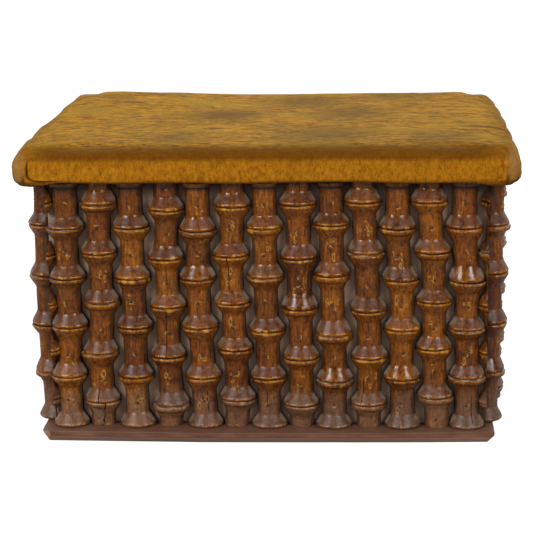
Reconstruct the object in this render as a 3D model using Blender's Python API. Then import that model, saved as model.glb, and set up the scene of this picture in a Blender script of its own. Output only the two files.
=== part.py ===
"""Spool ottoman: a nailed box faced all round with halved thread spools, under a padded lid that lifts off.

Metres, +Z up. The front faces -Y. The origin is on the floor, under the middle of the base board.
"""

import math

import bmesh
import bpy
from mathutils import Vector

MM = 0.001

# Clearances
FACE_GAP = 0.3 * MM  # between two solids that touch
CUT_OVERRUN = 5.0 * MM  # how far a cutter runs past the face it opens

# A wooden thread spool, 2 in tall and 1 1/2 in across its flanges, sawn in half lengthwise
SPOOL_HEIGHT = 50.8 * MM
BARREL_RADIUS = 12.0 * MM
FLANGE_DEPTH = 6.8 * MM  # how far a flange stands out from the barrel
RIM_ROUNDING = 1.5 * MM  # how much smaller the end face is than the flange
RIM_HEIGHT = 2.6 * MM  # from the end face to the widest point
FLANGE_HEIGHT = 11.6 * MM  # from the end face to the barrel
TURNING_STEPS = 6  # facets round each half

# Columns of halved spools. Every second column is shifted by half a spool, so flanges nest beside barrels
SPOOLS_PER_COLUMN = 5
FRONT_COLUMNS = 13
SIDE_COLUMNS = 9
NESTING_GAP = 1.9 * MM  # between a flange and the neighbouring barrel
SIDE_MARGIN = 0.8 * MM  # bare side panel beyond the outermost flange
WHOLE_START_SHARE = 1.0  # share of a spool at the foot of the first, third, fifth column
CUT_START_SHARE = 0.5  # and at the foot of the columns between them

# Strips ripped from a shifted column, which fill the front and back faces out to the corners
STRIP_GAP = 0.4 * MM  # between a strip's flanges and the barrels of the column beside it
STRIP_WEB = 1.4 * MM  # width of a strip at its own barrels

# Boards
PANEL_THICKNESS = 12.0 * MM
BASE_THICKNESS = 12.0 * MM
BASE_FRONT_LIP = 8.0 * MM  # beyond the spools, in front and behind
BASE_END_LIP = 8.0 * MM  # beyond the side panels
BASE_CHAMFER = 6.0 * MM

# Upholstered lid
END_OVERHANG = 10.0 * MM  # beyond the spools, left and right
FRONT_OVERHANG = 15.0 * MM  # beyond the spools, in front and behind
LID_HEIGHT = 31.0 * MM
LID_CROWN = 3.5 * MM
LID_DRAW_IN = 3.0 * MM  # how far each side is drawn in, midway between its corners
LID_SIDE_CUTS = 3
LID_CORNER_RADIUS = 28.0 * MM
LID_EDGE_ROUNDING = 14.0 * MM
LID_CORNER_STEPS = 5
COVER_THICKNESS = 1.5 * MM
HEM_WIDTH = 52.0 * MM
EDGE_PADDING = 9.0 * MM  # padding between the board's edge and the cover
BOARD_THICKNESS = 12.0 * MM
# Outline of the padded edge, as shares of the edge rounding (inwards) and of the lid's height
BAND_SHARES = (0.24, 0.44)
UPPER_EDGE_SHARES = ((0.13, 0.68), (0.42, 0.87), (1.0, 1.0))
LOWER_EDGE_SHARES = ((0.12, 0.07), (0.45, 0.0))
# The crown, as shares of the flat top's size and of the crown's height
CROWN_SHARES = ((0.8, 0.55), (0.45, 0.9))

# Battens under the lid, which drop into the box and keep the lid in place
LID_PLAY = 2.0 * MM
LINING_THICKNESS = 1.0 * MM
BATTEN_WIDTH = 20.0 * MM
BATTEN_HEIGHT = 14.0 * MM

# Sizes that follow
FLANGE_RADIUS = BARREL_RADIUS + FLANGE_DEPTH
END_RADIUS = FLANGE_RADIUS - RIM_ROUNDING
COLUMN_HEIGHT = SPOOLS_PER_COLUMN * SPOOL_HEIGHT
COLUMN_PITCH = FLANGE_RADIUS + BARREL_RADIUS + NESTING_GAP
STRIP_X = (FRONT_COLUMNS - 1) * COLUMN_PITCH / 2 + BARREL_RADIUS + STRIP_GAP + FLANGE_RADIUS
STRIP_CUT = BARREL_RADIUS - STRIP_WEB  # from the strip's own axis to its sawn side
BOX_HALF_X = STRIP_X - STRIP_CUT
BOX_HALF_Y = (SIDE_COLUMNS - 1) * COLUMN_PITCH / 2 + FLANGE_RADIUS + SIDE_MARGIN
SPOOL_STAND_OUT = FACE_GAP + FLANGE_RADIUS
FOOT_Z = BASE_THICKNESS + FACE_GAP
RIM_Z = FOOT_Z + COLUMN_HEIGHT
LID_Z = RIM_Z + FACE_GAP
LID_HALF_X = BOX_HALF_X + SPOOL_STAND_OUT + END_OVERHANG
LID_HALF_Y = BOX_HALF_Y + SPOOL_STAND_OUT + FRONT_OVERHANG
BOARD_INSET = COVER_THICKNESS + FACE_GAP + EDGE_PADDING
BOARD_Z = LID_Z + COVER_THICKNESS + FACE_GAP
LINING_HALF_X = BOX_HALF_X - PANEL_THICKNESS - LID_PLAY
LINING_HALF_Y = BOX_HALF_Y - PANEL_THICKNESS - LID_PLAY
LINING_Z = LID_Z - FACE_GAP - LINING_THICKNESS
BATTEN_Z = LINING_Z - FACE_GAP - BATTEN_HEIGHT


def clear_scene():
    for obj in list(bpy.data.objects):
        bpy.data.objects.remove(obj)


def add_collection(name):
    collection = bpy.data.collections.new(name)
    bpy.context.scene.collection.children.link(collection)
    return collection


def make_material(name, colour, roughness):
    material = bpy.data.materials.new(name)
    material.use_nodes = True
    shader = material.node_tree.nodes["Principled BSDF"]
    shader.inputs["Base Color"].default_value = (*colour, 1.0)
    shader.inputs["Roughness"].default_value = roughness
    shader.inputs["Metallic"].default_value = 0.0
    return material


def mesh_from(name, bm):
    mesh = bpy.data.meshes.new(name)
    bm.normal_update()
    bm.to_mesh(mesh)
    bm.free()
    return mesh


def add_piece(name, mesh, material, parent):
    obj = bpy.data.objects.new(name, mesh)
    PARTS.objects.link(obj)
    obj.parent = parent
    if material.name not in mesh.materials:
        mesh.materials.append(material)
    return obj


def add_cutter(name, mesh):
    obj = bpy.data.objects.new(name, mesh)
    CUTTERS.objects.link(obj)
    obj.hide_render = True
    obj.display_type = "WIRE"
    return obj


def cut_with(obj, cutter):
    modifier = obj.modifiers.new(cutter.name, "BOOLEAN")
    modifier.operation = "DIFFERENCE"
    modifier.object = cutter


def box_bmesh(low, high):
    """A plain board between two corners."""
    bm = bmesh.new()
    bmesh.ops.create_cube(bm, size=1.0)
    low, high = Vector(low), Vector(high)
    bmesh.ops.scale(bm, vec=high - low, verts=bm.verts)
    bmesh.ops.translate(bm, vec=(low + high) / 2, verts=bm.verts)
    return bm


def rounded_slab_bmesh(half_x, half_y, low_z, high_z, corner_radius):
    """A board whose four upright edges are rounded."""
    bm = box_bmesh((-half_x, -half_y, low_z), (half_x, half_y, high_z))
    upright = [e for e in bm.edges if abs(e.verts[0].co.z - e.verts[1].co.z) > FACE_GAP]
    bmesh.ops.bevel(
        bm,
        geom=upright,
        offset=corner_radius,
        segments=LID_CORNER_STEPS,
        profile=0.5,
        affect="EDGES",
        material=-1,
    )
    return bm


def half_turned_bmesh(profile):
    """Half of a turned shape, flat behind, from (radius, height) points that run from foot to head."""
    bm = bmesh.new()
    points = [(0.0, profile[0][1]), *profile, (0.0, profile[-1][1])]
    verts = [bm.verts.new((radius, 0.0, height)) for radius, height in points]
    edges = [bm.edges.new(pair) for pair in zip(verts, verts[1:])]
    bmesh.ops.spin(
        bm,
        geom=[*verts, *edges],
        cent=(0.0, 0.0, 0.0),
        axis=(0.0, 0.0, 1.0),
        angle=-math.pi,
        steps=TURNING_STEPS,
    )
    bmesh.ops.remove_doubles(bm, verts=bm.verts, dist=FACE_GAP / 10)
    close_openings(bm)
    return bm


def close_openings(bm):
    bmesh.ops.holes_fill(bm, edges=[e for e in bm.edges if e.is_boundary], sides=0)
    bmesh.ops.recalc_face_normals(bm, faces=bm.faces)


def column_profile(foot_share):
    """Radius against height of a column that starts with this share of a spool at its foot."""
    joints = [(foot_share + n) * SPOOL_HEIGHT for n in range(-1, SPOOLS_PER_COLUMN + 1)]
    outline = []
    for joint in joints:
        outline += [
            (BARREL_RADIUS, joint - FLANGE_HEIGHT),
            (FLANGE_RADIUS, joint - RIM_HEIGHT),
            (END_RADIUS, joint),
            (FLANGE_RADIUS, joint + RIM_HEIGHT),
            (BARREL_RADIUS, joint + FLANGE_HEIGHT),
        ]
    inside = [p for p in outline if FACE_GAP < p[1] < COLUMN_HEIGHT - FACE_GAP]
    foot = radius_at(outline, 0.0)
    head = radius_at(outline, COLUMN_HEIGHT)
    return [(foot, 0.0), *inside, (head, COLUMN_HEIGHT)]


def radius_at(outline, height):
    """Radius of a spool outline at a height, read along its straight stretches."""
    for (r0, z0), (r1, z1) in zip(outline, outline[1:]):
        if z0 <= height <= z1:
            return r0 + (r1 - r0) * (height - z0) / (z1 - z0)
    return outline[-1][0]


def add_columns(side, count, turn, face_distance, half_column_meshes, parent):
    """The columns of one side. They are flat behind, and stand on the base board against the panel."""
    outward = Vector((math.sin(turn), -math.cos(turn), 0.0))
    along = Vector((math.cos(turn), math.sin(turn), 0.0))
    for n in range(count):
        mesh = half_column_meshes[n % len(half_column_meshes)]
        column = add_piece(f"{side}_spools_{n + 1:02d}", mesh, SPOOL_WOOD, parent)
        offset = (n - (count - 1) / 2) * COLUMN_PITCH
        column.location = outward * (face_distance + FACE_GAP) + along * offset
        column.location.z = FOOT_Z
        column.rotation_euler.z = turn


def add_half_spools(parent):
    """Halved spools, glued end to end and nailed to the four panels."""
    meshes = []
    for name, share in (("whole", WHOLE_START_SHARE), ("cut", CUT_START_SHARE)):
        mesh = mesh_from(f"half_column_{name}", half_turned_bmesh(column_profile(share)))
        shade_turned(mesh)
        meshes.append(mesh)
    add_columns("front", FRONT_COLUMNS, 0.0, BOX_HALF_Y, meshes, parent)
    add_columns("back", FRONT_COLUMNS, math.pi, BOX_HALF_Y, meshes, parent)
    add_columns("left", SIDE_COLUMNS, -math.pi / 2, BOX_HALF_X, meshes, parent)
    add_columns("right", SIDE_COLUMNS, math.pi / 2, BOX_HALF_X, meshes, parent)


def shade_turned(mesh):
    mesh.shade_smooth()
    mesh.set_sharp_from_angle(angle=math.radians(40))


def add_corner_strips(parent):
    """Four strips ripped from shifted columns. Their sawn sides lie flush with the side panels."""
    for end, end_sign in (("left", -1), ("right", 1)):
        for face, face_sign in (("front", -1), ("back", 1)):
            bm = half_turned_bmesh(column_profile(CUT_START_SHARE))
            across = end_sign * -face_sign
            bmesh.ops.bisect_plane(
                bm,
                geom=[*bm.verts, *bm.edges, *bm.faces],
                plane_co=(-across * STRIP_CUT, 0.0, 0.0),
                plane_no=(across, 0.0, 0.0),
                clear_outer=True,
            )
            close_openings(bm)
            name = f"{face}_{end}_corner_strip"
            strip = add_piece(name, mesh_from(name, bm), SPOOL_WOOD, parent)
            shade_turned(strip.data)
            strip.location = (end_sign * STRIP_X, face_sign * (BOX_HALF_Y + FACE_GAP), FOOT_Z)
            strip.rotation_euler.z = math.pi if face == "back" else 0.0


def add_base(parent):
    """The bottom board. Its lower edge is chamfered all round."""
    half_x = BOX_HALF_X + BASE_END_LIP
    half_y = BOX_HALF_Y + SPOOL_STAND_OUT + BASE_FRONT_LIP
    bm = box_bmesh((-half_x, -half_y, 0.0), (half_x, half_y, BASE_THICKNESS))
    lower = [e for e in bm.edges if all(v.co.z < FACE_GAP for v in e.verts)]
    bmesh.ops.bevel(
        bm,
        geom=lower,
        offset=BASE_CHAMFER,
        segments=1,
        profile=0.5,
        affect="EDGES",
        material=-1,
    )
    add_piece("base_board", mesh_from("base_board", bm), BASE_WOOD, parent)


def add_panels(parent):
    """Four boards butted together: the front and back cover the ends of the side panels."""
    inner_y = BOX_HALF_Y - PANEL_THICKNESS
    side_half_y = inner_y - FACE_GAP
    for name, y0, y1 in (
        ("front_panel", -BOX_HALF_Y, -inner_y),
        ("back_panel", inner_y, BOX_HALF_Y),
    ):
        bm = box_bmesh((-BOX_HALF_X, y0, FOOT_Z), (BOX_HALF_X, y1, RIM_Z))
        add_piece(name, mesh_from(name, bm), PANEL_WOOD, parent)
    for name, x0, x1 in (
        ("left_panel", -BOX_HALF_X, PANEL_THICKNESS - BOX_HALF_X),
        ("right_panel", BOX_HALF_X - PANEL_THICKNESS, BOX_HALF_X),
    ):
        bm = box_bmesh((x0, -side_half_y, FOOT_Z), (x1, side_half_y, RIM_Z))
        add_piece(name, mesh_from(name, bm), PANEL_WOOD, parent)


def lid_form_mesh(name, inset):
    """The padded lid's outer form, drawn in by inset on every side: soft edges and a low crown."""
    height = LID_HEIGHT - 2 * inset
    rounding = LID_EDGE_ROUNDING - inset
    bottom_z = LID_Z + inset
    bm = rounded_slab_bmesh(
        LID_HALF_X - inset,
        LID_HALF_Y - inset,
        bottom_z + BAND_SHARES[0] * height,
        bottom_z + BAND_SHARES[1] * height,
        LID_CORNER_RADIUS - inset,
    )
    draw_in_sides(bm)
    top = max(bm.faces, key=lambda f: f.normal.z)
    bottom = min(bm.faces, key=lambda f: f.normal.z)
    for face, shares, start, sign in (
        (top, UPPER_EDGE_SHARES, BAND_SHARES[1], 1),
        (bottom, LOWER_EDGE_SHARES, BAND_SHARES[0], -1),
    ):
        done_in, done_up = 0.0, start
        for in_share, up_share in shares:
            bmesh.ops.inset_region(
                bm,
                faces=[face],
                thickness=(in_share - done_in) * rounding,
                depth=(up_share - done_up) * height * sign,
                use_boundary=True,
                use_even_offset=True,
            )
            done_in, done_up = in_share, up_share
    edge_z = bottom_z + height
    done_size = 1.0
    for size_share, crown_share in CROWN_SHARES:
        bmesh.ops.inset_region(bm, faces=[top], thickness=FACE_GAP, use_boundary=True)
        size = size_share / done_size
        bmesh.ops.scale(bm, vec=(size, size, 1.0), verts=top.verts)
        for vert in top.verts:
            vert.co.z = edge_z + crown_share * LID_CROWN
        done_size = size_share
    middle = bmesh.ops.poke(bm, faces=[top])["verts"][0]
    middle.co.z = edge_z + LID_CROWN
    return mesh_from(name, bm)


def draw_in_sides(bm):
    """Curve each side of the lid's outline inwards between its corners."""
    long_edges = [e for e in bm.edges if e.calc_length() > LID_CORNER_RADIUS]
    bmesh.ops.subdivide_edges(bm, edges=long_edges, cuts=LID_SIDE_CUTS)
    for vert in bm.verts:
        x_share = vert.co.x / LID_HALF_X
        y_share = vert.co.y / LID_HALF_Y
        vert.co.x -= x_share * LID_DRAW_IN * (1 - y_share**2)
        vert.co.y -= y_share * LID_DRAW_IN * (1 - x_share**2)


def add_lid(parent):
    """Lid board, padding, velvet cover turned under the board, lining, and two battens."""
    cover = add_piece("velvet_cover", lid_form_mesh("velvet_cover", 0.0), VELVET, parent)
    cut_with(cover, add_cutter("cover_inside", lid_form_mesh("cover_inside", COVER_THICKNESS)))
    hem_x = LID_HALF_X - HEM_WIDTH
    hem_y = LID_HALF_Y - HEM_WIDTH
    opening = box_bmesh(
        (-hem_x, -hem_y, LID_Z - CUT_OVERRUN),
        (hem_x, hem_y, LID_Z + CUT_OVERRUN),
    )
    cut_with(cover, add_cutter("hem_opening", mesh_from("hem_opening", opening)))

    padding_inset = COVER_THICKNESS + FACE_GAP
    padding = add_piece(
        "lid_padding", lid_form_mesh("lid_padding", padding_inset), PADDING, parent
    )
    pocket = rounded_slab_bmesh(
        LID_HALF_X - BOARD_INSET + FACE_GAP,
        LID_HALF_Y - BOARD_INSET + FACE_GAP,
        BOARD_Z - CUT_OVERRUN,
        BOARD_Z + BOARD_THICKNESS + FACE_GAP,
        LID_CORNER_RADIUS - BOARD_INSET + FACE_GAP,
    )
    cut_with(padding, add_cutter("board_pocket", mesh_from("board_pocket", pocket)))

    board = rounded_slab_bmesh(
        LID_HALF_X - BOARD_INSET,
        LID_HALF_Y - BOARD_INSET,
        BOARD_Z,
        BOARD_Z + BOARD_THICKNESS,
        LID_CORNER_RADIUS - BOARD_INSET,
    )
    add_piece("lid_board", mesh_from("lid_board", board), PANEL_WOOD, parent)
    lining = box_bmesh(
        (-LINING_HALF_X, -LINING_HALF_Y, LINING_Z),
        (LINING_HALF_X, LINING_HALF_Y, LINING_Z + LINING_THICKNESS),
    )
    add_piece("lid_lining", mesh_from("lid_lining", lining), LINING, parent)
    for side, sign in (("left", -1), ("right", 1)):
        add_batten(f"{side}_batten", sign, parent)


def add_batten(name, sign, parent):
    """A batten under the lid. It drops in beside a side panel and keeps the lid from sliding."""
    middle_x = sign * (LINING_HALF_X - BATTEN_WIDTH / 2)
    bm = box_bmesh(
        (middle_x - BATTEN_WIDTH / 2, -LINING_HALF_Y, BATTEN_Z),
        (middle_x + BATTEN_WIDTH / 2, LINING_HALF_Y, BATTEN_Z + BATTEN_HEIGHT),
    )
    add_piece(name, mesh_from(name, bm), PANEL_WOOD, parent)


def add_body(name):
    body = bpy.data.objects.new(name, None)
    PARTS.objects.link(body)
    return body


clear_scene()
PARTS = add_collection("Spool ottoman")
CUTTERS = add_collection("Cutters")
SPOOL_WOOD = make_material("varnished birch", (0.19, 0.075, 0.025), 0.34)
PANEL_WOOD = make_material("stained pine", (0.12, 0.06, 0.035), 0.6)
BASE_WOOD = make_material("painted pine", (0.09, 0.042, 0.032), 0.55)
VELVET = make_material("old gold velvet", (0.42, 0.22, 0.03), 0.95)
PADDING = make_material("cotton wadding", (0.6, 0.55, 0.45), 1.0)
LINING = make_material("black cambric", (0.02, 0.02, 0.02), 0.9)

box = add_body("box")
add_base(box)
add_panels(box)
add_half_spools(box)
add_corner_strips(box)

lid = add_body("lid")
add_lid(lid)
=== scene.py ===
"""Looks of the spool ottoman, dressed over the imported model: metres, +Z up, the front faces -Y."""

import math
import random
from functools import partial

import bmesh
import bpy
from mathutils import Euler, Matrix, Vector, noise


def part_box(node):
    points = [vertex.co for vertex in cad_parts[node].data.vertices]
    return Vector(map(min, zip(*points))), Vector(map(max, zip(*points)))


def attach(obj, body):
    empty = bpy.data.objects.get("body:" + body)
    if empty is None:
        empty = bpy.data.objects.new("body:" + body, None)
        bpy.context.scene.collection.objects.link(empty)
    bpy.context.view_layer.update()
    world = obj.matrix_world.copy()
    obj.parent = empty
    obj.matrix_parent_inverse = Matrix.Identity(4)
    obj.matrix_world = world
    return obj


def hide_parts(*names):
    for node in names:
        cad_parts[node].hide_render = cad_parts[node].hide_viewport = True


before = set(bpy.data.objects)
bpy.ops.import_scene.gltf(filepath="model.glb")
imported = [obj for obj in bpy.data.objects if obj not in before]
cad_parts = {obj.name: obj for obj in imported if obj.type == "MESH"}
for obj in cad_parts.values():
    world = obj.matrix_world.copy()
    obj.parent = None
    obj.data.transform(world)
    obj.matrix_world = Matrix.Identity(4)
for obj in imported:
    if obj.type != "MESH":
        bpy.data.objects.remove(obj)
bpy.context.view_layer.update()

MM = 0.001

# Camera
# It stands in front of the ottoman, a little to the right of its middle and above it, and looks slightly
# down and to the left, as the photographer did. Its focal length is given in pixels of the 533 pixel frame.
FRAME_PIXELS = 533
FOCAL_PIXELS = 1666
CAMERA_PLACE = (0.1074, -1.7456, 0.577)
CAMERA_TILT = 0.2465
CAMERA_TURN = 0.0676
CAMERA_ROLL = -0.0167


def new_object(name, data):
    """An object in the scene, at the origin."""
    made = bpy.data.objects.new(name, data)
    bpy.context.scene.collection.objects.link(made)
    return made


camera_data = bpy.data.cameras.new("camera")
camera_data.sensor_width = 36.0
camera_data.lens = camera_data.sensor_width * FOCAL_PIXELS / FRAME_PIXELS
camera = new_object("camera", camera_data)
aim = Euler((math.pi / 2 - CAMERA_TILT, 0.0, CAMERA_TURN)).to_matrix()
roll = Matrix.Rotation(CAMERA_ROLL, 3, "Z")
camera.matrix_world = Matrix.Translation(CAMERA_PLACE) @ (aim @ roll).to_4x4()
bpy.context.scene.camera = camera
bpy.context.scene.view_settings.view_transform = "Standard"

# Studio
# Two soft boxes stand left and right of the camera and a weaker one behind the object. The room in front
# is dim, and the backdrop behind it is white. The floor is a white sheet that keeps the base's shadow.
SOFTBOX_SIZE = 0.42
LEFT_SOFTBOX_POWER = 11.6
RIGHT_SOFTBOX_POWER = 8.6
SOFTBOX_DISTANCE = 1.6
SOFTBOX_TURN = math.radians(40)
SOFTBOX_HEIGHT = math.radians(24)
BACK_SOFTBOX_POWER = 14.0
BACK_SOFTBOX_HEIGHT = math.radians(40)
LIT_POINT = Vector((0.0, -0.1, 0.16))
FILL_LIGHT = 0.4
SKY_LIGHT = 0.85
ROOM_LIGHT = 0.05
CEILING_LIGHT = 0.3
FLOOR_SIZE = 12.0
FLOOR_PAPER = "8C8C8C"
FLOOR_GLOW = 0.9


def linear(hex_colour):
    """An sRGB hex colour as the linear RGBA that a shader takes."""
    shares = [int(hex_colour[i : i + 2], 16) / 255 for i in (0, 2, 4)]
    return (*[s / 12.92 if s <= 0.04045 else ((s + 0.055) / 1.055) ** 2.4 for s in shares], 1.0)


def fill(socket, value):
    """Sets a socket, or links another node's socket to it. A hex colour is made linear."""
    if isinstance(value, bpy.types.NodeSocket):
        socket.id_data.links.new(value, socket)
    else:
        socket.default_value = linear(value) if isinstance(value, str) else value


def add_node(material, kind, *values, output=0, **settings):
    """Adds a node, fills its inputs in their order, then others and its properties by name, and gives one
    of its outputs, or all of them if output is None."""
    node = material.node_tree.nodes.new(f"ShaderNode{kind}")
    for key, value in [*enumerate(values), *settings.items()]:
        if isinstance(key, str) and hasattr(node, key):
            setattr(node, key, value)
        else:
            fill(node.inputs[key], value)
    return node.outputs if output is None else node.outputs[output]


def new_material(name):
    """A material, and the function that adds nodes to it."""
    material = bpy.data.materials.new(name)
    material.use_nodes = True
    return material, partial(add_node, material)


def set_shader(material, **settings):
    """Fills the inputs of a material's shader. A space in a name is written as an underscore."""
    for key, value in settings.items():
        fill(material.node_tree.nodes["Principled BSDF"].inputs[key.replace("_", " ")], value)


for turn, height, power in (
    (-SOFTBOX_TURN, SOFTBOX_HEIGHT, LEFT_SOFTBOX_POWER),
    (SOFTBOX_TURN, SOFTBOX_HEIGHT, RIGHT_SOFTBOX_POWER),
    (math.pi, BACK_SOFTBOX_HEIGHT, BACK_SOFTBOX_POWER),
):
    softbox_data = bpy.data.lights.new("softbox", "AREA")
    softbox_data.size = SOFTBOX_SIZE
    softbox_data.energy = power
    softbox = new_object("softbox", softbox_data)
    flat = math.cos(height)
    towards = Vector((math.sin(turn) * flat, -math.cos(turn) * flat, math.sin(height)))
    softbox.location = LIT_POINT + towards * SOFTBOX_DISTANCE
    softbox.rotation_euler = towards.to_track_quat("Z", "Y").to_euler()

world = bpy.data.worlds.new("studio")
world.use_nodes = True
bpy.context.scene.world = world
add = partial(add_node, world)
rays = add("LightPath", output=None)
direction = add("TexCoord", output="Generated")
direction = add("SeparateXYZ", direction, output=None)
mirrored = add("MapRange", direction["Y"], -0.3, 0.1, ROOM_LIGHT, 1.0)
overhead = add("MapRange", direction["Z"], 0.3, 0.8, ROOM_LIGHT, CEILING_LIGHT)
mirrored = add("Math", mirrored, overhead, operation="MAXIMUM")
around = add("MapRange", direction["Z"], 0.0, 1.0, FILL_LIGHT, SKY_LIGHT)
strength = add("MapRange", rays["Is Glossy Ray"], 0.0, 1.0, around, mirrored)
seen = add("Math", rays["Is Camera Ray"], rays["Is Transmission Ray"], operation="MAXIMUM")
strength = add("MapRange", seen, 0.0, 1.0, strength, 1.0)
backdrop = world.node_tree.nodes["Background"].inputs
fill(backdrop["Color"], "FFFFFF")
fill(backdrop["Strength"], strength)


def object_from(name, bm):
    """An object at the origin from a mesh under construction, which ends there."""
    mesh = bpy.data.meshes.new(name)
    bm.to_mesh(mesh)
    bm.free()
    return new_object(name, mesh)


bm = bmesh.new()
bmesh.ops.create_grid(bm, x_segments=1, y_segments=1, size=FLOOR_SIZE / 2)
floor = object_from("floor", bm)
floor_paper, add = new_material("white background paper")
floor.data.materials.append(floor_paper)
rays = add("LightPath", output=None)
seen = add("Math", rays["Is Camera Ray"], rays["Is Transmission Ray"], operation="MAXIMUM")
glow = add("Math", seen, FLOOR_GLOW, operation="MULTIPLY")
set_shader(floor_paper, Base_Color=FLOOR_PAPER, Roughness=1.0, Specular_IOR_Level=0.0)
set_shader(floor_paper, Emission_Color="FFFFFF", Emission_Strength=glow)

# Base board
# A flat pine board, sawn and planed, with its lower edge chamfered all round and its front a little bowed.
# It is painted a dull red brown. The arris above the chamfer is rubbed to a lighter red, and the front left
# corner has lost a chip.
BOARD_CELL = 9.0 * MM
ARRIS_ROUNDING = 0.7 * MM
CHAMFER_HEIGHT = 8.0 * MM
FRONT_CHAMFER_DEPTH = 4.0 * MM
END_CHAMFER_DEPTH = 7.0 * MM
BOARD_WANDER = 0.35 * MM
CHIP_REACH = 9.0 * MM
CHIP_DEPTH = 2.5 * MM
# How far the front edge bows out, from the left end to the right
BOARD_BOW = ((-0.225, 2.0), (-0.17, 3.6), (-0.068, 6.3), (0.032, 4.6), (0.131, 2.0), (0.225, -2.5))
BOARD_PAINT = "80563F"
BOARD_PAINT_DARK = "3C261C"
BOARD_RUBBED = "9C5A3C"
BOARD_DUST = "7C6252"
# The chamfer's colours, lighter than the faces' as painted light
CHAMFER_PAINTED_LIGHT = "BE9580"
CHAMFER_DARK = "7A5848"
INSIDE_PINE = "8D6A45"
INSIDE_DARK = "6A4A2C"
LEFT_OVERHANG = 3.0 * MM
BARE_PINE = "A8805C"
BOARD_GRAIN_MM = 1.6


def piece_from(name, bm, material, body, sharp_from=180):
    """Closes a mesh as one piece of the object, riding on its body. Its edges are sharp from an angle on."""
    piece = object_from(name, bm)
    piece.data.materials.append(material)
    piece.data.shade_smooth()
    if sharp_from < 180:
        piece.data.set_sharp_from_angle(angle=math.radians(sharp_from))
    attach(piece, body)
    return piece


def box_between(low, high):
    """A mesh under construction, of the box between two corners."""
    bm = bmesh.new()
    bmesh.ops.create_cube(bm, size=1.0)
    bmesh.ops.scale(bm, vec=high - low, verts=bm.verts)
    bmesh.ops.translate(bm, vec=(low + high) / 2, verts=bm.verts)
    return bm


def bevel(bm, edges, offset, segments):
    """Rounds edges off, or chamfers them if it is done in one segment."""
    bmesh.ops.bevel(
        bm, geom=edges, offset=offset, segments=segments, profile=0.5, affect="EDGES", material=-1
    )


def close_up(bm):
    """Fills the holes of a mesh."""
    bmesh.ops.holes_fill(bm, edges=[e for e in bm.edges if e.is_boundary], sides=0)
    bmesh.ops.recalc_face_normals(bm, faces=bm.faces)


def cut(bm, at, normal, take_off=False):
    """Cuts the faces along a plane. What lies beyond it can be taken off, and the hole closed."""
    everything = [*bm.verts, *bm.edges, *bm.faces]
    bmesh.ops.bisect_plane(bm, geom=everything, plane_co=at, plane_no=normal, clear_outer=take_off)
    if take_off:
        close_up(bm)


def read_off(position, stops):
    """The value at a position on the straight lines between stops."""
    for (low_at, low_value), (high_at, high_value) in zip(stops, stops[1:]):
        if position <= high_at:
            share = max(0.0, position - low_at) / (high_at - low_at)
            return low_value + (high_value - low_value) * share
    return stops[-1][1]


low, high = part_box("base_board")
bm = box_between(low, high)
bevel(bm, [e for e in bm.edges if all(v.co.z < MM for v in e.verts)], CHAMFER_HEIGHT, 1)
under = [v for v in bm.verts if v.co.z < MM]
steeper = [
    (reach - depth) / (reach - CHAMFER_HEIGHT)
    for reach, depth in ((high.x, END_CHAMFER_DEPTH), (high.y, FRONT_CHAMFER_DEPTH))
]
bmesh.ops.scale(bm, vec=(*steeper, 1.0), verts=under)
bevel(bm, bm.edges[:], ARRIS_ROUNDING, 2)
for axis, reach in ((0, high.x), (1, high.y)):
    cuts = int(2 * reach / BOARD_CELL)
    for n in range(1, cuts):
        place, normal = [0.0, 0.0, 0.0], [0.0, 0.0, 0.0]
        place[axis] = -reach + 2 * reach * n / cuts
        normal[axis] = 1.0
        cut(bm, place, normal)
chip_at = Vector((low.x - LEFT_OVERHANG, low.y - 2.0 * MM, 5.0 * MM))
for vert in bm.verts:
    vert.co.x -= LEFT_OVERHANG if vert.co.x < low.x + BOARD_CELL else 0.0
    vert.co.y -= read_off(vert.co.x, BOARD_BOW) * MM * max(0.0, vert.co.y / low.y) ** 12
    edge = 0.0 < vert.co.z < high.z - ARRIS_ROUNDING / 2
    wander = BOARD_WANDER if edge else 0.0
    vert.co.x += wander * noise.noise(vert.co * 40.0)
    vert.co.y += wander * noise.noise(vert.co * 40.0 + Vector((3.0, 7.0, 1.0)))
    near = 1.0 - (vert.co - chip_at).length / CHIP_REACH
    if near > 0.0:
        vert.co += Vector((1.0, 1.0, 0.35)).normalized() * CHIP_DEPTH * min(1.0, 1.8 * near)

board_paint, add = new_material("worn red brown paint on pine")
place = add("TexCoord", output="Object")
split = add("SeparateXYZ", place, output=None)
# Grain runs along the board's length and shows through the thin paint as fine dark lines
stretched = add("Mapping", Vector=place, Scale=(0.035, 1.0, 1.0))
grain = add("TexNoise", Vector=stretched, Scale=1.0 / (BOARD_GRAIN_MM * MM), Detail=5.0, Roughness=0.65)
patches = add("TexNoise", Vector=place, Scale=28.0, Detail=5.0)
tone = add("MixRGB", grain, BOARD_PAINT_DARK, BOARD_PAINT)
dusty = add("MapRange", patches, 0.5, 0.75, 0.0, 0.5)
tone = add("MixRGB", dusty, tone, BOARD_DUST)
# The rubbed arris: a band round the chamfer's upper edge, broken up by the patches
from_arris = add("Math", split["Z"], CHAMFER_HEIGHT, operation="SUBTRACT")
from_arris = add("Math", from_arris, operation="ABSOLUTE")
rubbed = add("MapRange", from_arris, 0.7 * MM, 2.6 * MM, 1.0, 0.0)
rubbed = add("Math", rubbed, patches, operation="MULTIPLY")
rubbed = add("MapRange", rubbed, 0.36, 0.62)
tone = add("MixRGB", rubbed, tone, BOARD_RUBBED)
# Inside the box the board was never painted
bare_pine = add("MixRGB", grain, INSIDE_DARK, INSIDE_PINE)
reaches = {"X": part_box("left_panel")[1].x, "Y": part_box("front_panel")[1].y}
unpainted = add("Math", split["Z"], 0.01, operation="GREATER_THAN")
for axis, reach in reaches.items():
    away = add("Math", split[axis], operation="ABSOLUTE")
    within = add("Math", away, -reach, operation="LESS_THAN")
    unpainted = add("Math", unpainted, within, operation="MULTIPLY")
tone = add("MixRGB", unpainted, tone, bare_pine)
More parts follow.
